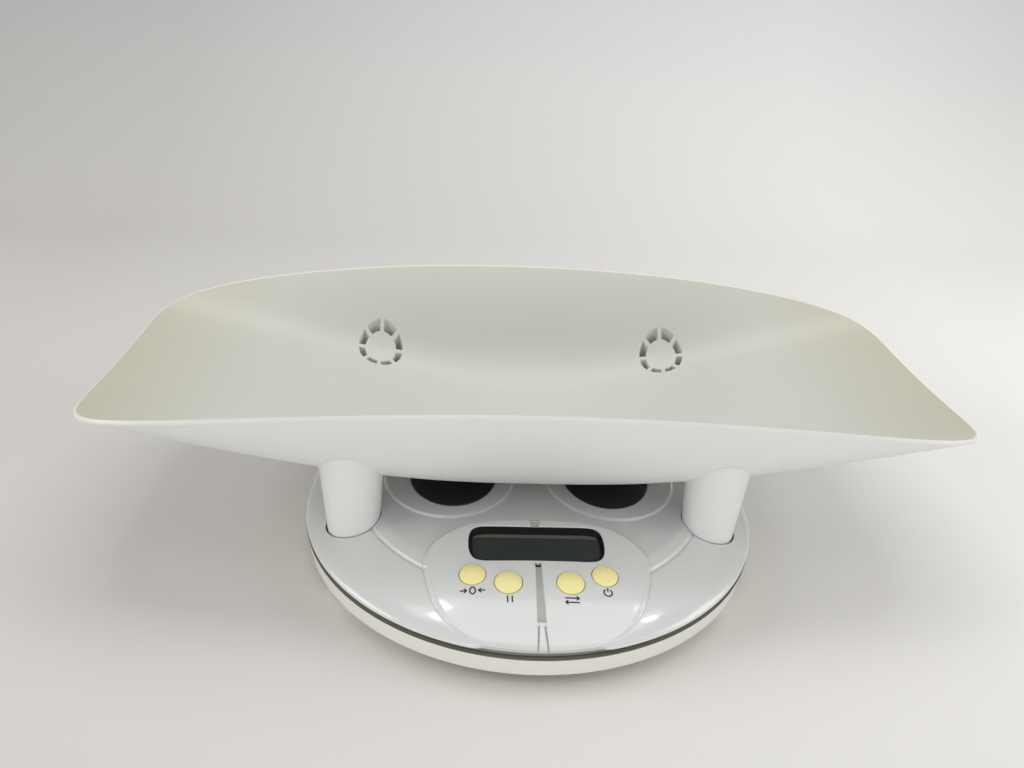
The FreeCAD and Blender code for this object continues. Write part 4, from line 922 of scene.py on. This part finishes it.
def buttonMatrix(x, y):
    # frame on the island's surface with Z along its normal
    step = 0.05
    slopeX = float(islandHeight(x + step, y) - islandHeight(x - step, y)) / (2 * step)
    slopeY = float(islandHeight(x, y + step) - islandHeight(x, y - step)) / (2 * step)
    normal = Vector((-slopeX, -slopeY, 1)).normalized()
    turn = Vector((0, 0, 1)).rotation_difference(normal).to_matrix().to_4x4()
    return Matrix.Translation((x, y, float(islandHeight(x, y)))) @ turn


def windowLoop():
    powers = display["powers"]
    return pillow(*display["half"], powers[0], powers[1:], display["pitch"])


def throughCover(loop, place):
    # points of a flat loop, slid along its frame's Z until they lie on the cover
    direction = np.array(place.to_3x3() @ Vector((0, 0, 1)))
    points = placed(flat(loop, 0), place)
    for _ in range(6):
        points += ((coverLevel(points[:, 0], points[:, 1]) - points[:, 2])
                   / direction[2])[:, None] * direction
    return points, direction


def addHole(skin, loop, place):
    # rounded edge and wall of a hole; gives the loops that the two faces join
    away, edge, wall = outward(loop), platform["holeEdge"], platform["wall"]
    into = placed(flat(-away, 0), place.to_3x3())
    rows, facings = [], []
    for cos, sin in quarter(4):
        points, direction = throughCover(loop + away * edge * (1 - sin), place)
        rows.append(points - direction * edge * (1 - cos))
        facings.append(unit(cos * slopeNormals(coverLevel, rows[-1][:, :2]) + sin * into))
    foot = (rows[-1] - direction * (wall - edge))[:, :2]
    rows.append(lifted(foot, coverLevel) - (0, 0, wall))
    skin.strip(rows, facings + [into])
    return rows[0], rows[-1]


def addWell(skin, leg):
    # the well that a leg stands in: rounded mouth, cone, floor and the cup's outside
    count, floor = 64, platform["wellFloor"]
    play, wall = platform["wellPlay"], platform["wellWall"]
    mouth, foot = (legRadius(level) + play for level in (platform["mouthLevel"], floor))
    rows, facings, into = mouthRows(circle(leg, mouth, count), circle((0, 0), 1, count),
                                    coverLevel, platform["wellEdge"])
    low = flat(circle(leg, foot, count), floor)
    skin.strip(rows + [low], facings + [into])
    skin.strip([low, flat(circle(leg, 0.0, count), floor)])
    bottom = flat(circle(leg, foot + wall, count), floor - wall)
    topRow = lifted(circle(leg, mouth + wall, count), coverLevel) - (0, 0, platform["wall"])
    skin.strip([bottom, topRow])
    skin.strip([flat(circle(leg, 0.0, count), floor - wall), bottom])
    return rows[0], topRow


def coverRings(outline, away):
    # plan points along the features of the cover
    rings = [outline - away * inset for inset in platform["rimRings"]]
    rings += [platformLoop(platform["stepInset"] + offset, platform["stepPitch"])
              for offset in platform["stepRings"]]
    rings.append(platformLoop(platform["crownInset"], platform["crownPitch"]))
    edge = curveThrough(islandPoints, 300)
    edgeAway = unit(np.stack([np.gradient(edge[:, 1]), -np.gradient(edge[:, 0])], 1))
    rings += [edge + edgeAway * offset for offset in island["edgeRings"]]
    for name in ("plateau", "pad"):
        for offset in platform[name + "Rings"]:
            oval = ovalLoop(platform[name + "Half"] + offset, platform[name + "Nose"] + offset)
            rings += [oval * (sideX, 1) + (sideX * platform[name + "X"], 0)
                      for sideX in (-1, 1)]
    return np.concatenate(rings + [bandPoints()])


def coverOutline():
    even = platformLoop(0.0)
    even = even[(np.abs(even[:, 0]) > island["frontHalf"]) | (even[:, 1] > 0)]
    near = np.array(island["frontSteps"])
    near = np.stack([near, platform["axis"][1] - np.sqrt(platform["radius"] ** 2 - near ** 2)], 1)
    return np.concatenate([near, even, near[:0:-1] * (-1, 1)])


def makeCover():
    skin = Skin()
    wall, soft = platform["wall"], platform["round"]
    holes = [addWell(skin, leg) for leg in legs]
    holes.append(addHole(skin, windowLoop(), displayMatrix()))
    for x, y, radius in buttons.values():
        ring = circle((0, 0), radius + buttonForm["gap"], 48)
        holes.append(addHole(skin, ring, buttonMatrix(x, y)))
    topHoles, lowHoles = zip(*holes)

    # rim of the cover, from the top face round the lip to the hollow underneath
    outline = coverOutline()
    away = outward(outline)
    share = (island["liftHalf"] - np.abs(outline[:, :1])) / island["liftFade"]
    under = outline - away * smoothStep(share) * (outline[:, 1:] < 0) * island["undercut"]

    def rimRow(inset, level=None):
        plan = outline - away * inset
        return lifted(plan, coverLevel) if level is None else flat(plan, level)

    lipLevel = platform["edgeLevel"] - platform["lip"]
    edgeRows = [rimRow(inset) for inset in platform["rimRows"]]
    topRow, hollow = edgeRows[0], rimRow(wall) - (0, 0, wall)
    lipRows = [edgeRows[-1], flat(under, lipLevel + soft), flat(under - away * soft, lipLevel),
               rimRow(wall, lipLevel)]
    skin.strip(edgeRows[::-1])
    for high, low in zip(lipRows, lipRows[1:]):
        skin.strip([low, high])
    # the hollow underneath takes a darker grey, painted shade under the cover's lip
    skin.finish = 3
    skin.strip([hollow, lipRows[-1]])

    # top face: points along its features, then an even grid
    rings = coverRings(outline, away)
    grid = hexGrid(outline.min(0), outline.max(0), platform["gridPitch"])
    grid = grid[insideLoop(grid, platformLoop(platform["gridInset"]))]
    extra = np.concatenate([rings, grid])
    plan, triangles = planMesh(topRow, topHoles, extra, platform["gaps"][0])
    points = lifted(plan, coverLevel)
    fixed = np.concatenate((topRow,) + topHoles)
    points[:len(fixed)] = fixed
    facing = slopeNormals(coverLevel, plan)
    # sunk faces take painted shade by their depth: grey in the channels, black in the deepest
    # start
    sunk = bandDepth(*plan[triangles].mean(1).T)
    for finish, (low, high) in enumerate(platform["sunk"]):
        skin.finish = finish
        skin.sheet(triangles[(sunk >= low) & (sunk < high)], points, facing)

    # the underside and skirt take the same painted shade
    skin.finish = 3
    addHollow(skin, rimRow, hollow, list(lowHoles), np.concatenate([rings[::2], grid]))
    return skin


def addHollow(skin, rimRow, hollow, lowHoles, extra):
    # hollow underside with the skirt that runs round inside the base
    wall, soft = platform["wall"], platform["round"]
    outer, inner = platform["skirt"]
    foot = platform["skirtLevel"]
    skirtTop = [rimRow(inset) - (0, 0, wall) for inset in platform["skirt"]]
    skin.sharpStrip([skirtTop[1], rimRow(inner, foot + soft), rimRow(inner - soft, foot),
                     rimRow(outer + soft, foot), rimRow(outer, foot + soft), skirtTop[0]])

    def underLevel(x, y):
        return coverLevel(x, y) - wall

    for edge, holes in ((hollow, skirtTop[:1]), (skirtTop[1], lowHoles)):
        plan, triangles = planMesh(edge, holes, extra, platform["gaps"][1])
        points = lifted(plan, underLevel)
        fixed = np.concatenate([edge] + holes)
        points[:len(fixed)] = fixed
        skin.sheet(triangles, points, -slopeNormals(underLevel, plan), down=True)


def ovalLoop(half, nose):
    turns = np.linspace(0, math.pi, 60)
    ends = [(way * half * math.cos(a), platform[end] + way * nose * math.sin(a))
            for way, end in ((-1, "padFront"), (1, "padRear")) for a in turns]
    return evenly(np.array(ends), platform["padPitch"])


coverSkin = makeCover()
coverSkin.piece("platform_shell", coverFinishes, "platform", "cover_white", "platform_cover")
print("cover made,", len(coverSkin.faces), "faces")


# push buttons: domed caps with a flange that holds them in the cover

def makeButton(name, x, y, radius):
    skin, form = Skin(), buttonForm
    sag = form["crown"] - form["edge"]
    ball = (radius ** 2 + sag ** 2) / (2 * sag)
    profile = [(0.0, form["crown"])]
    for reach in radius * np.linspace(*form["dome"]):
        profile.append((reach, form["crown"] - ball + math.sqrt(ball ** 2 - reach ** 2)))
    profile += [(radius - inset, form["edge"] + rise) for inset, rise in form["shoulder"]]
    foot = [(radius, form["flangeTop"]), (radius + form["flange"], form["flangeTop"]),
            (radius + form["flange"], form["flangeFoot"]), (form["stem"], form["flangeFoot"]),
            (form["stem"], form["stemFoot"]), (0.0, form["stemFoot"])]
    place = buttonMatrix(x, y)
    lathe(skin, profile, 64, place)
    for high, low in zip(profile[-1:] + foot, foot):
        lathe(skin, [high, low], 64, place)
    skin.piece(name + "_cap", [buttonRubber], name, "button_yellow", name)


for name, (x, y, radius) in buttons.items():
    makeButton(name, x, y, radius)
print("buttons made")


# display: a black surround with a sloping mouth, and the tinted pane at its foot

# mouth and flange of the surround from its lowest inner edge round to its outer foot:
# inset at the ends, at the front and at the rear, level, and finish of the face below it
surround = [
    (2.2, 2.0, 2.0, -7.6, 0), (2.2, 2.0, 2.0, -5.6, 0), (2.4, 2.0, 7.0, -5.6, 0),
    # finish 1, the olive, is a painted highlight on the ledge behind the pane
    (2.4, 2.0, 7.0, -4.3, 0), (2.2, 1.8, 4.2, -4.0, 1), (1.2, 1.0, 1.1, -1.35, 0),
    (1.0, 0.8, 0.85, -1.15, 0), (0.45, 0.45, 0.45, -1.15, 0), (0.2, 0.2, 0.2, -1.4, 0),
    (0.2, 0.2, 0.2, -6.4, 0), (-3.0, -1.2, -1.2, -6.4, 0), (-3.0, -1.2, -1.2, -7.6, 0),
]


def windowRing(ends, front, rear, level):
    # the window's outline moved in, in the display's own frame
    loop = windowLoop()
    away = outward(loop)
    inset = np.stack([np.full(len(loop), ends), np.where(away[:, 1] < 0, front, rear)], 1)
    return flat(loop - away * inset, level)


def makeDisplay():
    place = displayMatrix()
    skin = Skin()
    rings = [placed(windowRing(*row[:4]), place) for row in surround]
    rings.append(rings[0])
    finishes = [row[4] for row in surround[1:]] + [0]
    for low, high, finish in zip(rings, rings[1:], finishes):
        skin.finish = finish
        skin.strip([high, low])
    skin.piece("display_surround", [frameAbs, frameHighlight], "platform", "frame_black",
               "display_frame")
    seat, play, chamfer = surround[3], display["play"], display["chamfer"]
    pane = Skin()
    levels = [(play, display["paneFoot"]), (play, display["paneLevel"] - chamfer),
              (play + chamfer, display["paneLevel"])]
    rings = [windowRing(*(inset + grow for inset in seat[:3]), level) for grow, level in levels]
    pane.sharpStrip([placed(ring, place) for ring in rings])
    for ring, down in ((rings[-1], False), (rings[0], True)):
        pane.lid(ring, *display["paneMesh"], down, place)
    pane.piece("display_pane", [paneAcrylic], "platform", "pane_dark", "display_window")


makeDisplay()
print("display made")


# labels: plain signs printed under the buttons

label = {"line": 0.85, "size": 1.62, "thick": 0.05, "bite": 0.08}
labelPlaces = {
    "zero": (-38.0, -126.6), "hold": (-17.2, -132.9), "unit": (17.8, -133.2),
    "power": (38.6, -126.8),
}


def arc(radius, start, end, count):
    turns = np.radians(np.linspace(start, end, count))
    return [(radius[0] * math.cos(turn), radius[1] * math.sin(turn)) for turn in turns]


def mirrored(path):
    return [(-x, y) for x, y in path]


arrow, arrowHead = [(-4.4, 0), (-2.1, 0)], [(-3.0, 0.85), (-2.0, 0), (-3.0, -0.85)]
swapTop, swapHead = [(-2.5, 0.85), (2.4, 0.85)], [(1.5, 1.6), (2.5, 0.85), (1.5, 0.1)]
labelPaths = {
    "zero": [arrow, arrowHead, mirrored(arrow), mirrored(arrowHead), arc((0.95, 1.4), 0, 360, 25)],
    "hold": [[(-0.8, -1.3), (-0.8, 1.3)], [(0.8, -1.3), (0.8, 1.3)]],
    "unit": [swapTop, swapHead] + [[(-x, -y) for x, y in path] for path in (swapTop, swapHead)],
    "power": [arc((1.45, 1.45), 125, 415, 25), [(0, 0.35), (0, 1.9)]],
}


def addStroke(skin, path, centre):
    # a raised line of ink along a path; a path that ends where it starts is a ring
    points = np.array(path, float) * label["size"] + centre
    ring = np.allclose(points[0], points[-1], atol=0.01)
    if ring:
        points = points[:-1]
        run = np.roll(points, -1, 0) - np.roll(points, 1, 0)
    else:
        run = np.gradient(points, axis=0)
    left = unit(np.stack([-run[:, 1], run[:, 0]], 1)) * label["line"] / 2
    rows = []
    for plan, rise in ((points - left, -label["bite"]), (points - left, label["thick"]),
                       (points + left, label["thick"]), (points + left, -label["bite"])):
        rows.append(lifted(plan, coverLevel) + (0, 0, rise))
    skin.sharpStrip(rows + rows[:1], closed=ring)
    if not ring:
        for end, order in ((0, (0, 1, 2, 3)), (-1, (0, 3, 2, 1))):
            corners = [rows[number][end] for number in order]
            facing = np.append(run[end], 0) * (-1 if end == 0 else 1)
            skin.face(corners, [unit(facing)] * 4)


for name, paths in labelPaths.items():
    ink = Skin()
    for path in paths:
        addStroke(ink, path, np.array(labelPlaces[name]))
    ink.piece("label_" + name, [labelInk], "platform", "frame_black")
print("labels made")


# foot pads: thick ovals of soft rubber that lie in the plateaus

padForm = {"thickness": 1.5, "round": 0.5, "mesh": (8.0, 3.0)}


def makePad(name, sideX):
    skin, soft = Skin(), padForm["round"]
    low = (platform["edgeLevel"] + platform["rise"] * platform["crownInset"] ** platform["power"]
           + platform["stepRise"] + platform["plateauRise"] - platform["padDepth"])
    top = low + padForm["thickness"]
    loop = ovalLoop(platform["padHalf"], platform["padNose"])
    away = outward(loop)
    out = flat(away, 0)
    rows, facings = [], []
    for cos, sin in quarter(5):
        plan = loop - away * (platform["padGap"] + soft * (1 - sin))
        rows.append(flat(plan + (sideX * platform["padX"], 0), top - soft * (1 - cos)))
        facings.append(unit(cos * np.array([0, 0, 1.0]) + sin * out))
    rows.append(flat(rows[-1][:, :2], low))
    skin.strip(rows[::-1], [out] + facings[::-1])
    skin.lid(rows[0], *padForm["mesh"])
    skin.lid(rows[-1], *padForm["mesh"], True)
    skin.piece(name + "_rubber", [padRubber], "platform", "grip_dark", name)


for name, sideX in (("foot_pad_left", -1), ("foot_pad_right", 1)):
    makePad(name, sideX)
print("foot pads made")


# Geometry Nodes: studs under the rubber feet and the housing's screws

def sizedTree(name, sizes):
    # a tree with a named input for each size
    tree = bpy.data.node_groups.new(name, "GeometryNodeTree")
    for way in ("INPUT", "OUTPUT"):
        tree.interface.new_socket("Geometry", in_out=way, socket_type="NodeSocketGeometry")
    for title, value in sizes.items():
        kind = "NodeSocketVector" if isinstance(value, tuple) else "NodeSocketFloat"
        tree.interface.new_socket(title, in_out="INPUT", socket_type=kind)
    return tree, addNode(tree, "NodeGroupInput").outputs


def finishTree(tree, geometry, material):
    # every tree ends in plain geometry of one material
    real = addNode(tree, "GeometryNodeRealizeInstances", {"Geometry": geometry})
    painted = addNode(tree, "GeometryNodeSetMaterial", {
        "Geometry": real.outputs[0], "Material": material})
    addNode(tree, "NodeGroupOutput", {"Geometry": painted.outputs[0]})


def grown(name, start, tree, sizes):
    # an object whose mesh is what the tree makes from the start mesh with these sizes
    made = bpy.data.objects.new(name, start)
    scene.collection.objects.link(made)
    modifier = made.modifiers.new(tree.name, "NODES")
    modifier.node_group = tree
    for item in tree.interface.items_tree:
        if item.name in sizes:
            modifier[item.identifier] = sizes[item.name]
    layer = bpy.context.evaluated_depsgraph_get()
    mesh = bpy.data.meshes.new_from_object(made.evaluated_get(layer), depsgraph=layer)
    made.modifiers.clear()
    made.data = mesh
    mesh.name = name
    mesh.shade_smooth()
    mesh.set_sharp_from_angle(angle=math.radians(35))
    return made


# rubber feet: discs with a rounded edge and a field of small studs that grip the floor
footForm = {"radius": 13.0, "top": 2.2, "web": 0.7, "edge": 0.5, "bevel": 0.2, "studReach": 11.4,
            "studPitch": 3.1, "studRadius": 0.95, "studTaper": 0.8, "studBite": 0.2}


def studTree():
    sizes = {"Centre": (0, 0, 0), "Reach": 1.0, "Pitch": 1.0, "Stud Radius": 1.0,
             "Stud Height": 1.0}
    tree, given = sizedTree("foot studs", sizes)
    span, tip = (addNode(tree, "ShaderNodeMath", {0: given[size], 1: share},
                         operation="MULTIPLY").outputs[0]
                 for size, share in (("Reach", 2.0), ("Stud Radius", footForm["studTaper"])))
    gaps = addNode(tree, "ShaderNodeMath", {0: span, 1: given["Pitch"]}, operation="DIVIDE")
    count = addNode(tree, "ShaderNodeMath", {0: gaps.outputs[0], 1: 1.5}, operation="ADD")
    grid = addNode(tree, "GeometryNodeMeshGrid", {
        "Size X": span, "Size Y": span, "Vertices X": count.outputs[0],
        "Vertices Y": count.outputs[0]})
    reach = addNode(tree, "ShaderNodeVectorMath", {
        0: addNode(tree, "GeometryNodeInputPosition").outputs[0]}, operation="LENGTH")
    outside = addNode(tree, "FunctionNodeCompare", {
        "A": reach.outputs["Value"], "B": given["Reach"]}, operation="GREATER_THAN")
    field = addNode(tree, "GeometryNodeDeleteGeometry", {
        "Geometry": grid.outputs["Mesh"], "Selection": outside.outputs[0]})
    stud = addNode(tree, "GeometryNodeMeshCone", {
        "Vertices": 12, "Radius Top": given["Stud Radius"], "Radius Bottom": tip,
        "Depth": given["Stud Height"]})
    studs = addNode(tree, "GeometryNodeInstanceOnPoints", {
        "Points": field.outputs[0], "Instance": stud.outputs["Mesh"]})
    moved = addNode(tree, "GeometryNodeTransform", {
        "Geometry": studs.outputs[0], "Translation": given["Centre"]})
    tread = addNode(tree, "GeometryNodeJoinGeometry", {
        "Geometry": [given["Geometry"], moved.outputs[0]]})
    finishTree(tree, tread.outputs[0], footRubber)
    return tree


def makeFeet():
    tree, form = studTree(), footForm
    radius, edge, top, web = (form[key] for key in ("radius", "edge", "top", "web"))
    bevel, bulge = form["bevel"], 0.3 * edge
    profile = [(0.0, top), (radius - bevel, top), (radius, top - bevel), (radius, web + edge),
               (radius - bulge, web + bulge), (radius - edge, web), (0.0, web)]
    for name in footNames:
        low, high = (np.array(corner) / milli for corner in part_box(name))
        centre = Vector((*((low + high) / 2)[:2], 0))
        skin = Skin()
        for upper, lower in zip(profile, profile[1:]):
            lathe(skin, [upper, lower], 64, Matrix.Translation(centre))
        made = grown(name + "_tread", skin.mesh(name, [footRubber]), tree, {
            "Centre": tuple(centre * milli), "Reach": form["studReach"] * milli,
            "Pitch": form["studPitch"] * milli, "Stud Radius": form["studRadius"] * milli,
            "Stud Height": (web + form["studBite"]) * milli})
        dress(made, "base", name)


makeFeet()

# screws: radius at the seat and at the top of the head, head height, shaft radius and reach,
# thread pitch, body, whether the head is on top, and a tilt about X
screwSets = {
    "board_screws": (2.3, 1.9, 1.5, 1.1, 3.2, 0.6, "platform", False, display["tilt"]),
    "load_plate_screws": (3.55, 2.9, 2.2, 1.75, 6.0, 0.8, "platform", False, 0.0),
    "mounting_plate_screws": (3.55, 2.9, 2.2, 1.8, 4.0, 0.8, "base", True, 0.0),
    "cell_upper_screws": (4.15, 3.4, 2.6, 2.35, 11.0, 0.8, "platform", True, 0.0),
    "cell_lower_screws": (2.4, 4.25, 2.0, 2.35, 9.5, 0.8, "base", False, 0.0),
}
screwSizes = ("Seat Radius", "Top Radius", "Head Height", "Shaft Radius", "Reach", "Pitch")
# sizes that follow one of these, as a share of it
screwShares = {"bladeLength": ("Top Radius", 1.3), "bladeWidth": ("Top Radius", 0.28),
               "tip": ("Shaft Radius", 0.8), "threadStart": ("Shaft Radius", 0.86),
               "threadHeight": ("Reach", 0.97), "drop": ("Reach", -1.0), "ridge": ("Pitch", 0.22)}


def screwHead(tree, given, sized):
    # a cone that stands on the seat, with a cross cut into its top
    head = addNode(tree, "GeometryNodeMeshCone", {
        "Vertices": 32, "Radius Top": given["Top Radius"], "Radius Bottom": given["Seat Radius"],
        "Depth": given["Head Height"]})
    rise = addNode(tree, "ShaderNodeCombineXYZ", {"Z": given["Head Height"]})
    blades = []
    for ways in (("bladeLength", "bladeWidth"), ("bladeWidth", "bladeLength")):
        size = addNode(tree, "ShaderNodeCombineXYZ", {
            "X": sized[ways[0]], "Y": sized[ways[1]], "Z": given["Head Height"]})
        blade = addNode(tree, "GeometryNodeMeshCube", {"Size": size.outputs[0]})
        moved = addNode(tree, "GeometryNodeTransform", {
            "Geometry": blade.outputs["Mesh"], "Translation": rise.outputs[0]})
        blades.append(moved.outputs[0])
    cut = addNode(tree, "GeometryNodeMeshBoolean", {
        "Mesh 1": head.outputs["Mesh"], "Mesh 2": blades}, operation="DIFFERENCE",
        solver="EXACT")
    return addNode(tree, "GeometryNodeMergeByDistance", {
        "Geometry": cut.outputs[0], "Distance": 0.01 * milli}).outputs[0]


def screwStem(tree, given, sized):
    # a tapered shaft and its thread, which hang from the seat
    shaft = addNode(tree, "GeometryNodeMeshCone", {
        "Vertices": 24, "Radius Top": given["Shaft Radius"], "Radius Bottom": sized["tip"],
        "Depth": given["Reach"]})
    turns = addNode(tree, "ShaderNodeMath", {0: given["Reach"], 1: given["Pitch"]},
                    operation="DIVIDE")
    thread = addNode(tree, "GeometryNodeCurveSpiral", {
        "Resolution": 20, "Rotations": turns.outputs[0], "Start Radius": sized["threadStart"],
        "End Radius": given["Shaft Radius"], "Height": sized["threadHeight"]})
    ridge = addNode(tree, "GeometryNodeCurvePrimitiveCircle", {
        "Resolution": 6, "Radius": sized["ridge"]})
    wound = addNode(tree, "GeometryNodeCurveToMesh", {
        "Curve": thread.outputs[0], "Profile Curve": ridge.outputs[0], "Fill Caps": True})
    stem = addNode(tree, "GeometryNodeJoinGeometry", {
        "Geometry": [shaft.outputs["Mesh"], wound.outputs[0]]})
    drop = addNode(tree, "ShaderNodeCombineXYZ", {"Z": sized["drop"]})
    return addNode(tree, "GeometryNodeTransform", {
        "Geometry": stem.outputs[0], "Translation": drop.outputs[0]}).outputs[0]


def screwTree():
    tree, given = sizedTree("cross-head screws", dict.fromkeys(screwSizes, 1.0))
    sized = {name: addNode(tree, "ShaderNodeMath", {0: given[size], 1: share},
                           operation="MULTIPLY").outputs[0]
             for name, (size, share) in screwShares.items()}
    screw = addNode(tree, "GeometryNodeJoinGeometry", {
        "Geometry": [screwHead(tree, given, sized), screwStem(tree, given, sized)]})
    axis = addNode(tree, "GeometryNodeInputNamedAttribute", {"Name": "axis"},
                   data_type="FLOAT_VECTOR")
    turn = addNode(tree, "FunctionNodeAlignRotationToVector", {"Vector": axis.outputs[0]},
                   axis="Z")
    screws = addNode(tree, "GeometryNodeInstanceOnPoints", {
        "Points": given["Geometry"], "Instance": screw.outputs[0],
        "Rotation": turn.outputs[0]})
    finishTree(tree, screws.outputs[0], screwSteel)
    return tree


def makeScrews():
    tree = screwTree()
    for name, (*sizes, body, headUp, tilt) in screwSets.items():
        low, high = (np.array(corner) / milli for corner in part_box(name))
        middle, head, reach = (low + high) / 2, sizes[2], sizes[4]
        lean = math.radians(tilt)
        axis = np.array([0, -math.sin(lean), math.cos(lean)]) * (1 if headUp else -1)
        inset = max(sizes[:2])
        rows = [low[1] + inset, high[1] - inset] if high[1] - low[1] > 4 * inset else [middle[1]]
        seats = [np.array([x, y, middle[2] + (y - middle[1]) * math.tan(lean)])
                 + axis * (reach - head) / 2
                 for x in (low[0] + inset, high[0] - inset) for y in rows]
        points = bpy.data.meshes.new(name)
        points.from_pydata((np.array(seats) * milli).tolist(), [], [])
        aims = points.attributes.new("axis", "FLOAT_VECTOR", "POINT")
        aims.data.foreach_set("vector", np.tile(axis, len(seats)))
        values = {title: value * milli for title, value in zip(screwSizes, sizes)}
        dress(grown(name + "_cross", points, tree, values), body, name)


makeScrews()
print("feet and screws made")


# floor, backdrop, lamps and camera

stage = {"floorPaintedLight": ("#d7d4d0", "#fbf9f5"), "backdropPaintedShade": ("#b8bec2", "#d4dade"),
         "front": -2500.0, "wallY": 1150.0, "top": 2600.0, "bend": 500.0, "half": 3200.0,
         "width": 1050.0}


def makeStage():
    bend, wall = stage["bend"], stage["wallY"]
    rows = [(stage["front"], 0)]
    rows += [(wall - bend * (1 - sin), bend * (1 - cos)) for cos, sin in quarter(24)]
    rows.append((wall, stage["top"]))
    skin = Skin()
    skin.strip([[(x, y, z) for x in (-stage["half"], stage["half"])] for y, z in rows],
               closed=False)
    material, tree, place = newMaterial("paper seamless painted light")
    fibres = addNode(tree, "ShaderNodeTexNoise", {"Vector": place, "Scale": 1 / (2 * milli),
                                                  "Detail": 3.0})
    bump = addNode(tree, "ShaderNodeBump", {"Height": fibres.outputs["Fac"], "Strength": 0.05,
                                            "Distance": 0.05 * milli})
    spot = addNode(tree, "ShaderNodeSeparateXYZ", {"Vector": place})
    half = stage["width"] / 2 * milli
    across = addNode(tree, "ShaderNodeMapRange", {
        "Value": spot.outputs["X"], "From Min": -half, "From Max": half})
    share = addNode(tree, "ShaderNodeMapRange", {"Value": spot.outputs["Z"],
                                                 "From Min": 0.0, "From Max": 0.5})
    # painted light and shade on one sheet: darker at the left, lighter at the right, darker and
    # bluer up the backdrop
    shades = []
    for colours in (stage["floorPaintedLight"], stage["backdropPaintedShade"]):
        shade = addNode(tree, "ShaderNodeMix", {
            "Factor": across.outputs[0], 6: linear(colours[0]), 7: linear(colours[1])},
            data_type="RGBA")
        shades.append(shade.outputs[2])
    tint = addNode(tree, "ShaderNodeMix", {"Factor": share.outputs[0], 6: shades[0],
                                           7: shades[1]}, data_type="RGBA")
    shader = addNode(tree, "ShaderNodeBsdfPrincipled", {
        "Base Color": tint.outputs[2], "Roughness": 0.9, "Specular IOR Level": 0.2,
        "Normal": bump.outputs[0]})
    addNode(tree, "ShaderNodeOutputMaterial", {"Surface": shader.outputs[0]})
    made = bpy.data.objects.new("seamless_paper", skin.mesh("seamless_paper", [material]))
    scene.collection.objects.link(made)


makeStage()

lamps = {
    "softbox_left": {"place": (-1200, -180, 640), "aim": (0, 0, 60), "size": (800, 600),
                     "power": 5.5, "colour": (1.0, 0.98, 0.96)},
    "softbox_right": {"place": (1200, -180, 640), "aim": (0, 0, 60), "size": (800, 700),
                      "power": 5.2, "colour": (1.0, 0.99, 0.97)},
    "overhead": {"place": (120, 480, 1400), "aim": (60, 60, 0), "size": (1500, 900),
                 "power": 7.2, "colour": (1.0, 1.0, 1.0)},
    "front": {"place": (-60, -1500, 230), "aim": (0, 0, 70), "size": (1700, 400),
              "power": 9.0, "colour": (1.0, 1.0, 0.99)},
    "ceiling_left": {"place": (-438, 280, 1500), "aim": (-57, -141, 30), "size": (110, 110),
                     "power": 0.45, "colour": (1.0, 1.0, 1.0)},
    "ceiling_right": {"place": (812, 317, 1500), "aim": (61, -141, 30), "size": (110, 110),
                      "power": 0.45, "colour": (1.0, 1.0, 1.0)},
}


def makeLamp(name, form):
    lamp = bpy.data.lights.new(name, "AREA")
    lamp.shape = "RECTANGLE"
    lamp.size, lamp.size_y = (value * milli for value in form["size"])
    lamp.energy = form["power"]
    lamp.color = form["colour"]
    made = bpy.data.objects.new(name, lamp)
    made.location = Vector(form["place"]) * milli
    aim = Vector(form["aim"]) * milli - made.location
    made.rotation_euler = aim.to_track_quat("-Z", "Y").to_euler()
    scene.collection.objects.link(made)


for name, form in lamps.items():
    makeLamp(name, form)

sky = {"colour": (1.0, 1.0, 0.99, 1), "strength": 0.29}
scene.world = bpy.data.worlds.new("studio")
scene.world.use_nodes = True
background = scene.world.node_tree.nodes["Background"].inputs
background["Color"].default_value = sky["colour"]
background["Strength"].default_value = sky["strength"]

camera = {"place": (-45.92, -507.64, 353.23), "pitch": 26.21, "yaw": -3.56, "roll": 3.13,
          "lens": 30.22, "sensor": 36.0, "clip": (0.01, 20)}


def makeCamera():
    pitch, yaw, roll = (math.radians(camera[key]) for key in ("pitch", "yaw", "roll"))
    right = Vector((math.cos(yaw), math.sin(yaw), 0))
    forward = Vector((-math.sin(yaw), math.cos(yaw), 0)) * math.cos(pitch)
    forward += Vector((0, 0, -1)) * math.sin(pitch)
    down = forward.cross(right)
    turnedRight = math.cos(roll) * right - math.sin(roll) * down
    turnedDown = math.sin(roll) * right + math.cos(roll) * down
    data = bpy.data.cameras.new("camera")
    data.lens = camera["lens"]
    data.sensor_width = camera["sensor"]
    data.sensor_fit = "HORIZONTAL"
    data.clip_start, data.clip_end = camera["clip"]
    made = bpy.data.objects.new("camera", data)
    turn = Matrix((turnedRight, -turnedDown, -forward)).transposed().to_4x4()
    made.matrix_world = Matrix.Translation(Vector(camera["place"]) * milli) @ turn
    scene.collection.objects.link(made)
    scene.camera = made


makeCamera()
print("stage, lamps and camera made")
